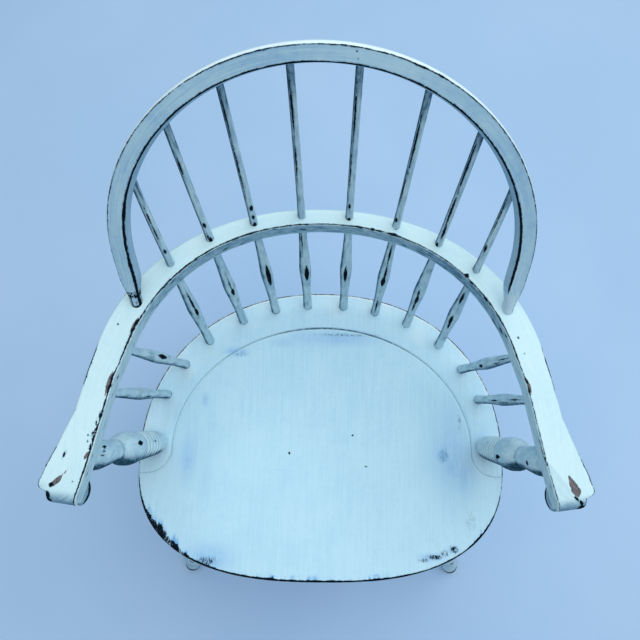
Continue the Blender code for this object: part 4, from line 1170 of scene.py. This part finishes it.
def bow_fields(along, across, outer_edge, rim_edge):
    """Wear and painted highlight on the bow; across is measured from the inner front edge over the face."""
    left_leg = bump_between(along, *BOW_LEFT_LEG)
    right_leg = bump_between(along, *BOW_RIGHT_LEG)
    crown = 1.0 - rising(abs(along), *BOW_CROWN_ENDS)
    right_foot = rising(along, *BOW_RIGHT_FOOT)
    left_foot = rising(-along, *BOW_LEFT_FOOT)
    past_outer = across - outer_edge + 0.0006 * crown
    inner_mm = 1.15 + 0.1 * left_leg + 0.4 * right_leg - 2.0 * right_foot
    rub = max(edge_rub(across, along, BOW_INNER_SEED, inner_mm, 0.35 + 0.45 * left_leg),
              edge_rub(across + 0.002, along, BOW_SPLAY_SEED, -1.3 + 0.9 * left_leg, 1.2),
              edge_rub(past_outer, along, BOW_OUTER_SEED, 0.42, 0.30),
              edge_rub(across - rim_edge, along, BOW_RIM_SEED, -1.2, 0.6),
              deepest(along, across, BOW_CHIPS))
    if left_foot > 0.0:
        fine_seed, broad_seed = BOW_FOOT_SEEDS
        scraped = wander(across * 700.0, fine_seed) + 0.5 * wander(along * 170.0, broad_seed) + 0.1
        rub = max(rub, scraped * 3.0 * left_foot)
    outside = smooth_step(past_outer / 0.001)
    face = smooth_step(across / 0.001) * (1.0 - outside)
    inside = 1.0 - smooth_step(across / 0.001 + 1.0)
    # Painted highlight lightens the outer rim at the crown and the whole right foot.
    grime_and_painted_light = 0.10 * face + 0.25 * inside * (1.0 - right_foot) - 0.7 * outside * crown - 0.5 * right_foot
    return wear_row(rub, grime_and_painted_light)


def make_bow(material):
    outline, corners = bow_section()
    centers, rings = [], []
    arch_steps, foot_steps = 300, 70
    for i in range(arch_steps + 1):
        point, way_out = bow_arch(90.0 * i / arch_steps)
        centers.append(point)
        rings.append(bow_ring(outline, point, way_out, 0.0))
    for i in range(1, foot_steps + 1):
        up = mix(BOW_STRAIGHT, -BOW_TENON_LENGTH / 2, i / foot_steps)
        centers.append(bow_place(BOW_HALF_WIDTH, up))
        roundness = smooth_step(1.0 - (up - BOW_TENON_RADIUS * 0.65) / BOW_TAPER_LENGTH)
        rings.append(bow_ring(outline, centers[-1], RIGHT, roundness))
    rings, along = both_sides(rings, path_lengths(centers))
    points, faces, uvs, girths = skin(rings, along)
    wear = []
    for ring_along, marks in zip(along, girths):
        inner, outer, rim = marks[corners[4]], marks[corners[5]], marks[corners[6]]
        for mark in marks[:-1]:
            wear.append(bow_fields(ring_along, mark - inner, outer - inner, rim - inner))
    add_piece("bow", material, points, faces, uvs, columns_of(wear))


# Turned pieces

def softened(profile, height, window):
    """The profile's radius with its corners rounded off over a window of heights."""
    samples = 5
    total = sum(linear(profile, height + window * (i / (samples - 1) - 0.5)) for i in range(samples))
    return total / samples


def rod_rings(path, radii, sides):
    """Rings round a path; the first point of each ring looks at the sitter's head."""
    rings, spokes = [], circle(sides)
    for i, (center, radius) in enumerate(zip(path, radii)):
        way = (path[min(i + 1, len(path) - 1)] - path[max(i - 1, 0)]).normalized()
        toward = SITTER_HEAD - center
        facing = (toward - way * toward.dot(way)).normalized()
        across = way.cross(facing)
        rings.append([center + (facing * c + across * s) * radius for c, s in spokes])
    return rings


def add_rod(node, material, path, radii, sides, wear_at, floor=False):
    """A round piece along a path; wear_at gives the fields at (length, degrees, radius)."""
    rings = rod_rings(path, radii, sides)
    if floor:
        way = (path[1] - path[0]).normalized()
        rings[0] = [point - way * (point.z / way.z) for point in rings[1]]
    along = path_lengths(path)
    points, faces, uvs, _ = skin(rings, along)
    wear = []
    for length, radius in zip(along, radii):
        for k in range(sides):
            wear.append(wear_at(length, (360.0 * k / sides + 180.0) % 360.0 - 180.0, radius))
    add_piece(node, material, points, faces, uvs, columns_of(wear))


def spindle_swell():
    """Shares of the way from seat to arm, with the radius there: neck, bulge and taper."""
    shoulder = (SPINDLE_BULGE_RADIUS + SPINDLE_NECK_RADIUS) / 2
    return ((0.0, SPINDLE_SEAT_RADIUS), (SPINDLE_NECK_AT, SPINDLE_NECK_RADIUS),
            (mix(SPINDLE_NECK_AT, SPINDLE_BULGE_AT, 0.6), shoulder),
            (SPINDLE_BULGE_AT, SPINDLE_BULGE_RADIUS),
            (mix(SPINDLE_BULGE_AT, 1.0, 0.55), mix(SPINDLE_BULGE_RADIUS, SPINDLE_ARM_RADIUS, 0.75)),
            (0.94, SPINDLE_ARM_RADIUS), (1.0, SPINDLE_ARM_RADIUS))


# Marks on the spindles: share of the way from seat to arm (above 1, on to the bow), degrees, length, width
SPINDLE_MARKS = {
    "long_spindle_1": ((0.52, 12, 0.028, 0.0045), (0.62, 10, 0.080, 0.0026), (1.25, 0, 0.010, 0.0034),
                       (1.45, -10, 0.034, 0.0018), (1.60, -10, 0.034, 0.0018)),
    "long_spindle_2": ((0.49, 10, 0.024, 0.0046), (0.57, 8, 0.050, 0.0022), (1.21, -6, 0.011, 0.0042),
                       (1.07, 6, 0.012, 0.0040), (1.10, -20, 0.020, 0.0020), (1.68, -25, 0.030, 0.0026)),
    "long_spindle_3": ((0.53, 14, 0.062, 0.0064), (1.19, 16, 0.011, 0.0046), (1.12, 10, 0.010, 0.0034),
                       (1.06, 8, 0.010, 0.0044), (1.50, -30, 0.110, 0.0018), (1.80, -25, 0.080, 0.0018)),
    "long_spindle_4": ((0.50, 14, 0.046, 0.0064), (0.84, -20, 0.050, 0.0018), (1.75, -20, 0.090, 0.0022),
                       (1.45, -24, 0.080, 0.0018)),
    "long_spindle_5": ((0.50, 0, 0.046, 0.0052), (1.15, -8, 0.010, 0.0034), (1.05, 0, 0.010, 0.0034),
                       (1.72, -20, 0.100, 0.0020), (1.40, -30, 0.080, 0.0016)),
    "long_spindle_6": ((0.50, 8, 0.030, 0.0060), (0.58, 12, 0.060, 0.0030), (0.80, 10, 0.050, 0.0026),
                       (0.15, 0, 0.050, 0.0024), (1.12, -20, 0.010, 0.0036), (1.66, -18, 0.110, 0.0022),
                       (1.36, -34, 0.060, 0.0020)),
    "long_spindle_7": ((0.44, 8, 0.040, 0.0044), (0.34, 4, 0.040, 0.0026), (0.53, 0, 0.020, 0.0030),
                       (1.20, 8, 0.034, 0.0030), (1.38, -6, 0.070, 0.0026), (1.07, -18, 0.010, 0.0036),
                       (1.72, -18, 0.090, 0.0022)),
    "long_spindle_8": ((0.48, 0, 0.034, 0.0048), (0.40, 6, 0.030, 0.0030), (0.76, 0, 0.034, 0.0036),
                       (1.36, -14, 0.014, 0.0034), (1.70, -24, 0.060, 0.0014)),
    "short_spindle_left_rear": ((0.50, 14, 0.032, 0.0064),),
    "short_spindle_left_front": ((0.42, -34, 0.040, 0.0022),),
    "short_spindle_right_rear": ((0.47, 16, 0.016, 0.0046), (0.80, 0, 0.030, 0.0014),
                                 (0.70, 30, 0.036, 0.0016)),
    "short_spindle_right_front": ((0.42, 14, 0.030, 0.0024), (0.56, 34, 0.056, 0.0018),
                                  (0.74, 4, 0.036, 0.0018)),
}
# Degrees round a spindle of its dark streak and of its side darkened with painted shade: from, to and
# soft ends
SPINDLE_STREAK_DEGREES = 48.0
SPINDLE_SHADE_SIDE = (66.0, 100.0, 44.0)
# Share of the length where a spindle darkens towards its top with a painted shadow under the bow or
# arm, and over what share
SPINDLE_TOP_SHADOW = (0.84, 0.12)
# Patches of dirt: waves per metre along the piece, and degrees for one wave round it
SPINDLE_PATCHES = (48.0, 40.0)
POST_PATCHES = (55.0, 26.0)
BASE_CHIPS = (42.0, 34.0)
BASE_PATCHES = (30.0, 50.0)


def turned_marks(marks, length, across, radius):
    """Depth inside marks given as (place along, degrees round, length, width) on a round piece."""
    ovals = [(place, math.radians(turn) * radius, long, wide, 0.0) for place, turn, long, wide in marks]
    return deepest(length, across, ovals)


def spindle_wear(name, seed, lower_length, whole_length):
    """Wear on one spindle: rubbed spots, a dark streak down one side and dirty joints; painted shade
    darkens a band down one side, and a painted shadow darkens its top.
    """
    marks = []
    for share, degrees, length, width in SPINDLE_MARKS[name]:
        place = lower_length * min(share, 1.0) + (whole_length - lower_length) * max(share - 1.0, 0.0)
        marks.append((place + SPINDLE_SEAT_DEPTH, degrees, length, width))
    joints = (SPINDLE_SEAT_DEPTH, SPINDLE_SEAT_DEPTH + lower_length - ARM_THICKNESS / 2,
              SPINDLE_SEAT_DEPTH + lower_length + ARM_THICKNESS / 2)
    shaded = 1.0 if "right" in name else -1.0
    top_from, top_soft = whole_length * SPINDLE_TOP_SHADOW[0], whole_length * SPINDLE_TOP_SHADOW[1]

    def wear_at(length, degrees, radius):
        across = math.radians(degrees) * radius
        side = math.radians(SPINDLE_STREAK_DEGREES * shaded) * radius
        rub = max(turned_marks(marks, length, across, radius),
                  edge_rub(across - side, length, seed + SPINDLE_STREAK_SEED, -0.90, 1.2, 24.0))
        for joint in joints:
            rub = max(rub, edge_rub(length - joint, across * 3.0, seed + SPINDLE_JOINT_SEED, 0.5, 0.8))
        # Painted shade down the side away from the lamp, and a painted shadow at the top under the bow or
        # arm.
        shade_side = bump_between(degrees * shaded, *SPINDLE_SHADE_SIDE)
        top_shadow = rising(length - SPINDLE_SEAT_DEPTH, top_from, top_soft)
        patchy = max(0.10 + 0.40 * skin_noise(length, degrees, SPINDLE_PATCHES, seed), 0.0)
        return wear_row(rub, min(patchy + 0.70 * shade_side + 0.40 * top_shadow, 1.0))
    return wear_at


def long_spindle_line(side, index):
    """Centre line and radii: straight from the seat through the arm, then sprung back to the bow."""
    base = seat_point(LONG_SEAT_ANGLES[index], SPINDLE_INSET)
    middle = arm_bend_point(LONG_ARM_STATIONS[index])
    top, _ = bow_arch(LONG_BOW_ANGLES[index])
    rise = (middle - base) / (middle.z - base.z)
    sprung = top - (middle + rise * (top.z - middle.z))
    lower, upper = middle.z - base.z, top.z - middle.z
    swell = spindle_swell()
    path = [base - rise * SPINDLE_SEAT_DEPTH]
    radii = [SPINDLE_SEAT_RADIUS]
    for i in range(SPINDLE_STEPS + 1):
        share = i / SPINDLE_STEPS
        path.append(base + rise * (lower * share))
        radii.append(softened(swell, share, SPINDLE_LOWER_SOFTENING))
    taper = ((0.0, SPINDLE_ARM_RADIUS), (0.04, SPINDLE_ARM_RADIUS),
             (SPINDLE_UPPER_AT, SPINDLE_UPPER_RADIUS), (1.0, SPINDLE_TOP_RADIUS))
    for i in range(1, SPINDLE_STEPS + 1):
        share = i / SPINDLE_STEPS
        path.append(middle + rise * (upper * share) + sprung * share ** 2)
        radii.append(softened(taper, share, SPINDLE_UPPER_SOFTENING))
    return [on_side(point, side) for point in path], radii, lower * rise.length


def make_long_spindles(material):
    count = len(LONG_SEAT_ANGLES)
    places = [(-1, i) for i in reversed(range(count))] + [(1, i) for i in range(count)]
    for number, (side, index) in enumerate(places, start=1):
        path, radii, lower_length = long_spindle_line(side, index)
        name = "long_spindle_%d" % number
        whole_length = path_lengths(path)[-1] - SPINDLE_SEAT_DEPTH
        wear_at = spindle_wear(name, number, lower_length, whole_length)
        add_rod(name, material, path, radii, SPINDLE_SIDES, wear_at)


def straight_rod(low, high, profile, window, steps):
    """Path and radii of a piece turned about the line low to high; profile heights start at low."""
    way = (high - low).normalized()
    start, end = profile[0][0], profile[-1][0]
    heights = [mix(start, end, i / steps) for i in range(steps + 1)]
    path = [low + way * height for height in heights]
    radii = [softened(profile, height, window) for height in heights]
    return path, radii


def make_short_spindles(material):
    for index, place in enumerate(("rear", "front")):
        angle, station = SHORT_SEAT_ANGLES[index], SHORT_ARM_STATIONS[index]
        base, top, under = seat_to_arm(angle, SPINDLE_INSET, station)
        profile = [(-SPINDLE_SEAT_DEPTH, SPINDLE_SEAT_RADIUS)]
        profile += [(under * share, radius) for share, radius in spindle_swell()]
        profile.append((under + SPINDLE_ARM_DEPTH, SPINDLE_ARM_RADIUS))
        window = under * SPINDLE_LOWER_SOFTENING
        for side, word in SIDES:
            low, high = on_side(base, side), on_side(top, side)
            path, radii = straight_rod(low, high, profile, window, SPINDLE_STEPS)
            name = "short_spindle_%s_%s" % (word, place)
            seed = SHORT_SPINDLE_SEED + index * 2 + side
            wear_at = spindle_wear(name, seed, under, under + SPINDLE_ARM_DEPTH)
            add_rod(name, material, path, radii, SPINDLE_SIDES, wear_at)


def post_radius(share):
    """Radius of a post at a share of its height, with the fine turned grooves."""
    radius = softened(POST_SHAPE, share, POST_SOFTENING)
    for groove in POST_GROOVES:
        near = max(0.0, 1.0 - abs(share - groove) / POST_GROOVE_HALF)
        radius -= POST_GROOVE_DEPTH * near
    return radius


# Marks on the posts: share of the height, degrees, length and width
POST_MARKS = {
    "arm_post_left": ((0.475, 4, 0.014, 0.0065), (0.24, 2, 0.010, 0.0030), (0.85, 18, 0.010, 0.0036),
                      (0.87, 2, 0.008, 0.0024), (0.89, -14, 0.010, 0.0018)),
    "arm_post_right": ((0.45, 26, 0.016, 0.0046), (0.43, 34, 0.010, 0.0040), (0.80, 26, 0.008, 0.0060),
                       (0.23, -20, 0.006, 0.0030)),
}
# Degrees round a post of the side that looks down, darkened with painted shade: from, to and soft ends
POST_UNDERSIDE = (76.0, 108.0, 46.0)


def post_wear(name, height):
    """Wear on a post: its spots, dirty patches, darker at the neck, painted shade in the grooves and on the
    side that looks down, and a painted highlight on the lip beside each groove.
    """
    marks = [(height * share + POST_SINK, turn, long, wide) for share, turn, long, wide in POST_MARKS[name]]
    side = -1.0 if name.endswith("left") else 1.0

    def wear_at(length, degrees, radius):
        share = (length - POST_SINK) / height
        across = math.radians(degrees) * radius
        under = bump_between(side * degrees, *POST_UNDERSIDE)
        rub = max(turned_marks(marks, length, across, radius),
                  edge_rub(length - POST_SINK, across * 2.0, POST_SEED + side, 0.6 + 1.4 * under, 0.8))
        nearest = min(POST_GROOVES, key=lambda groove: abs(share - groove))
        cut = max(0.0, 1.0 - abs(share - nearest) / (POST_GROOVE_HALF * 0.7))
        lip = max(0.0, 1.0 - abs(share - nearest + POST_GROOVE_HALF) / (POST_GROOVE_HALF * 0.8))
        neck = max(0.0, 1.0 - abs(share - POST_NECK_AT) / 0.02)
        patchy = max(0.06 + 0.20 * skin_noise(length, degrees, POST_PATCHES, POST_PATCH_SEED * side), 0.0)
        # Painted shade in the grooves and on the side that looks down, painted highlight on the lips.
        grime_and_painted_light = patchy - 0.45 * lip + 0.72 * cut + 0.3 * neck + 1.10 * under
        return wear_row(rub, min(grime_and_painted_light, 1.0))
    return wear_at


def base_wear(seed, foot_mm):
    """Wear on a leg or stretcher: chips on its swells, soft dirty patches, and a dark ring at the foot,
    partly rubbed paint and partly painted contact shadow.
    """
    def wear_at(length, degrees, radius):
        chips = skin_noise(length, degrees, BASE_CHIPS, seed)
        proud = rising(radius, LEG_COVE_RADIUS, LEG_BULB_RADIUS - LEG_COVE_RADIUS)
        rub = (chips - 0.66 + 0.20 * proud) * 6.0
        rub = max(rub, edge_rub(length, math.radians(degrees) * radius, seed, foot_mm, 2.5))
        darkening = 0.12 + 0.16 * skin_noise(length, degrees, BASE_PATCHES, seed + BASE_PATCH_SEED)
        return wear_row(rub, max(darkening, 0.0))
    return wear_at


def make_arm_posts(material):
    base, top, under = seat_to_arm(POST_SEAT_ANGLE, POST_INSET, POST_ARM_STATION)
    shares = [mix(0.0, POST_TOP_AT, i / POST_STEPS) for i in range(POST_STEPS + 1)]
    for side, word in SIDES:
        low, high = on_side(base, side), on_side(top, side)
        way = (high - low).normalized()
        path = [low - way * POST_SINK] + [low + way * (under * share) for share in shares]
        radii = [post_radius(0.0)] + [post_radius(share) for share in shares]
        name = "arm_post_" + word
        add_rod(name, material, path, radii, POST_SIDES, post_wear(name, under))


# Legs and stretchers

SEAT_UNDERSIDE = SEAT_HEIGHT - SEAT_THICKNESS


def leg_profile(length, joint):
    """Foot, ankle, swell at the stretcher, ring and bulb above it; lengths along the leg."""
    upper = length - joint
    calf = mix(LEG_ANKLE_RADIUS, LEG_SWELL_RADIUS, 0.6)
    bulb_low = mix(LEG_COVE_RADIUS, LEG_BULB_RADIUS, 0.75)
    bulb_high = mix(LEG_NECK_RADIUS, LEG_BULB_RADIUS, 0.6)
    lower_part = ((0.06, LEG_FOOT_RADIUS), (0.25, LEG_ANKLE_RADIUS), (0.62, calf),
                  (1.0, LEG_SWELL_RADIUS))
    upper_part = ((0.16, LEG_RING_RADIUS), (0.20, LEG_COVE_RADIUS), (0.23, LEG_RING_RADIUS),
                  (0.27, LEG_RING_RADIUS), (0.30, LEG_COVE_RADIUS), (0.40, bulb_low),
                  (0.50, LEG_BULB_RADIUS), (0.62, bulb_high), (0.82, LEG_NECK_RADIUS),
                  (0.94, LEG_TOP_RADIUS))
    profile = [(0.0, LEG_FOOT_RADIUS * 0.92), (LEG_FOOT_RADIUS, LEG_FOOT_RADIUS * 0.97)]
    profile += [(joint * share, radius) for share, radius in lower_part]
    profile += [(joint + upper * share, radius) for share, radius in upper_part]
    profile.append((length + LEG_SINK, LEG_TOP_RADIUS))
    return profile


def stretcher_profile(length):
    """Slim ends and a swelled middle."""
    shares = ((0.0, 0.0), (0.12, 0.12), (0.32, 0.72), (0.5, 1.0), (0.68, 0.72), (0.88, 0.12), (1.0, 0.0))
    profile = [(-STRETCHER_SINK, STRETCHER_END_RADIUS)]
    for share, swell in shares:
        profile.append((length * share, mix(STRETCHER_END_RADIUS, STRETCHER_MIDDLE_RADIUS, swell)))
    profile.append((length + STRETCHER_SINK, STRETCHER_END_RADIUS))
    return profile


def make_stretcher(node, material, start, end, holder_radius):
    way = (end - start).normalized()
    low, high = start + way * holder_radius, end - way * holder_radius
    length = (high - low).length
    window = length * STRETCHER_SOFTENING
    path, radii = straight_rod(low, high, stretcher_profile(length), window, STRETCHER_STEPS)
    add_rod(node, material, path, radii, STRETCHER_SIDES, base_wear(len(node), -DEEPEST_MM))


def make_base(material):
    joints = {}
    for end, top_xy, foot_xy in (("front", FRONT_LEG_TOP, FRONT_FOOT), ("rear", REAR_LEG_TOP, REAR_FOOT)):
        for side, word in SIDES:
            foot = Vector((side * foot_xy[0], foot_xy[1], 0.0))
            top = Vector((side * top_xy[0], top_xy[1], SEAT_UNDERSIDE))
            length = (top - foot).length
            joint = length * STRETCHER_HEIGHT / SEAT_UNDERSIDE
            profile = leg_profile(length, joint)
            path, radii = straight_rod(foot, top, profile, LEG_SOFTENING, LEG_STEPS)
            first_ring, next_ring = LEG_FOOT_RADIUS * 0.6, LEG_FOOT_RADIUS * 0.92
            path[1] = foot + (top - foot).normalized() * first_ring
            keep = [0, 1] + [i for i in range(2, len(path)) if (path[i] - foot).length > next_ring]
            path, radii = [path[i] for i in keep], [radii[i] for i in keep]
            wear_at = base_wear(LEG_SEED + side + 5.0 * len(end), FOOT_WEAR_AND_SHADOW_MM)
            add_rod("leg_%s_%s" % (end, word), material, path, radii, LEG_SIDES, wear_at, floor=True)
            joints[end, side] = foot.lerp(top, joint / length)
    middles = {}
    for side, word in SIDES:
        front, rear = joints["front", side], joints["rear", side]
        make_stretcher("stretcher_side_" + word, material, front, rear, LEG_SWELL_RADIUS)
        middles[side] = front.lerp(rear, 0.5)
    make_stretcher("stretcher_center", material, middles[-1], middles[1], STRETCHER_MIDDLE_RADIUS)


# Floor, light and camera

def add_floor():
    mesh = bpy.data.meshes.new("floor")
    signs = ((-1, -1), (1, -1), (1, 1), (-1, 1))
    mesh.from_pydata([(FLOOR_REACH * x, FLOOR_REACH * y, 0) for x, y in signs], [], [(0, 1, 2, 3)])
    mesh.materials.append(floor_material())
    floor = add_object("floor", mesh)


def add_light():
    world = bpy.data.worlds.new("studio")
    world.use_nodes = True
    background = world.node_tree.nodes["Background"]
    background.inputs["Color"].default_value = SKY_COLOR
    background.inputs["Strength"].default_value = SKY_STRENGTH
    bpy.context.scene.world = world
    light = bpy.data.lights.new("overhead", "AREA")
    light.shape = "DISK"
    light.size = LAMP_SIZE
    light.energy = LAMP_POWER
    light.color = LAMP_COLOR
    lamp = add_object("overhead", light)
    lamp.location = LAMP_PLACE
    lamp.rotation_mode = "QUATERNION"
    lamp.rotation_quaternion = (LAMP_TARGET - LAMP_PLACE).to_track_quat("-Z", "Y")


def add_camera():
    heading = Vector((math.sin(CAMERA_YAW) * math.cos(CAMERA_PITCH),
                      math.cos(CAMERA_YAW) * math.cos(CAMERA_PITCH), -math.sin(CAMERA_PITCH)))
    level = Vector((math.cos(CAMERA_YAW), -math.sin(CAMERA_YAW), 0.0))
    above = level.cross(heading)
    right = level * math.cos(CAMERA_ROLL) + above * math.sin(CAMERA_ROLL)
    up = above * math.cos(CAMERA_ROLL) - level * math.sin(CAMERA_ROLL)
    data = bpy.data.cameras.new("camera")
    data.sensor_width = CAMERA_SENSOR_MM
    data.lens = CAMERA_SENSOR_MM * CAMERA_FOCAL_PIXELS / PICTURE_PIXELS
    data.shift_x = 0.5 - CAMERA_CENTER[0] / PICTURE_PIXELS
    data.shift_y = CAMERA_CENTER[1] / PICTURE_PIXELS - 0.5
    camera = add_object("camera", data)
    turn = Matrix((right, up, -heading)).transposed().to_4x4()
    camera.matrix_world = Matrix.Translation(CAMERA_PLACE + Vector((0.0, MIDLINE_Y, 0.0))) @ turn
    bpy.context.scene.camera = camera


def main():
    rail_paint = worn_paint("worn_rail_paint", RAIL_PAINT)
    turned_paint = worn_paint("worn_turned_paint", TURNED_PAINT)
    make_seat(worn_paint("worn_seat_paint", SEAT_PAINT, grooved=True))
    make_arm_rail(rail_paint)
    for side, word in SIDES:
        make_hand_scroll(side, word, rail_paint)
    make_bow(worn_paint("worn_bow_paint", BOW_PAINT))
    make_long_spindles(turned_paint)
    make_short_spindles(turned_paint)
    make_arm_posts(turned_paint)
    make_base(turned_paint)
    add_floor()
    add_light()
    add_camera()
    bpy.context.scene.view_settings.view_transform = "Standard"


main()
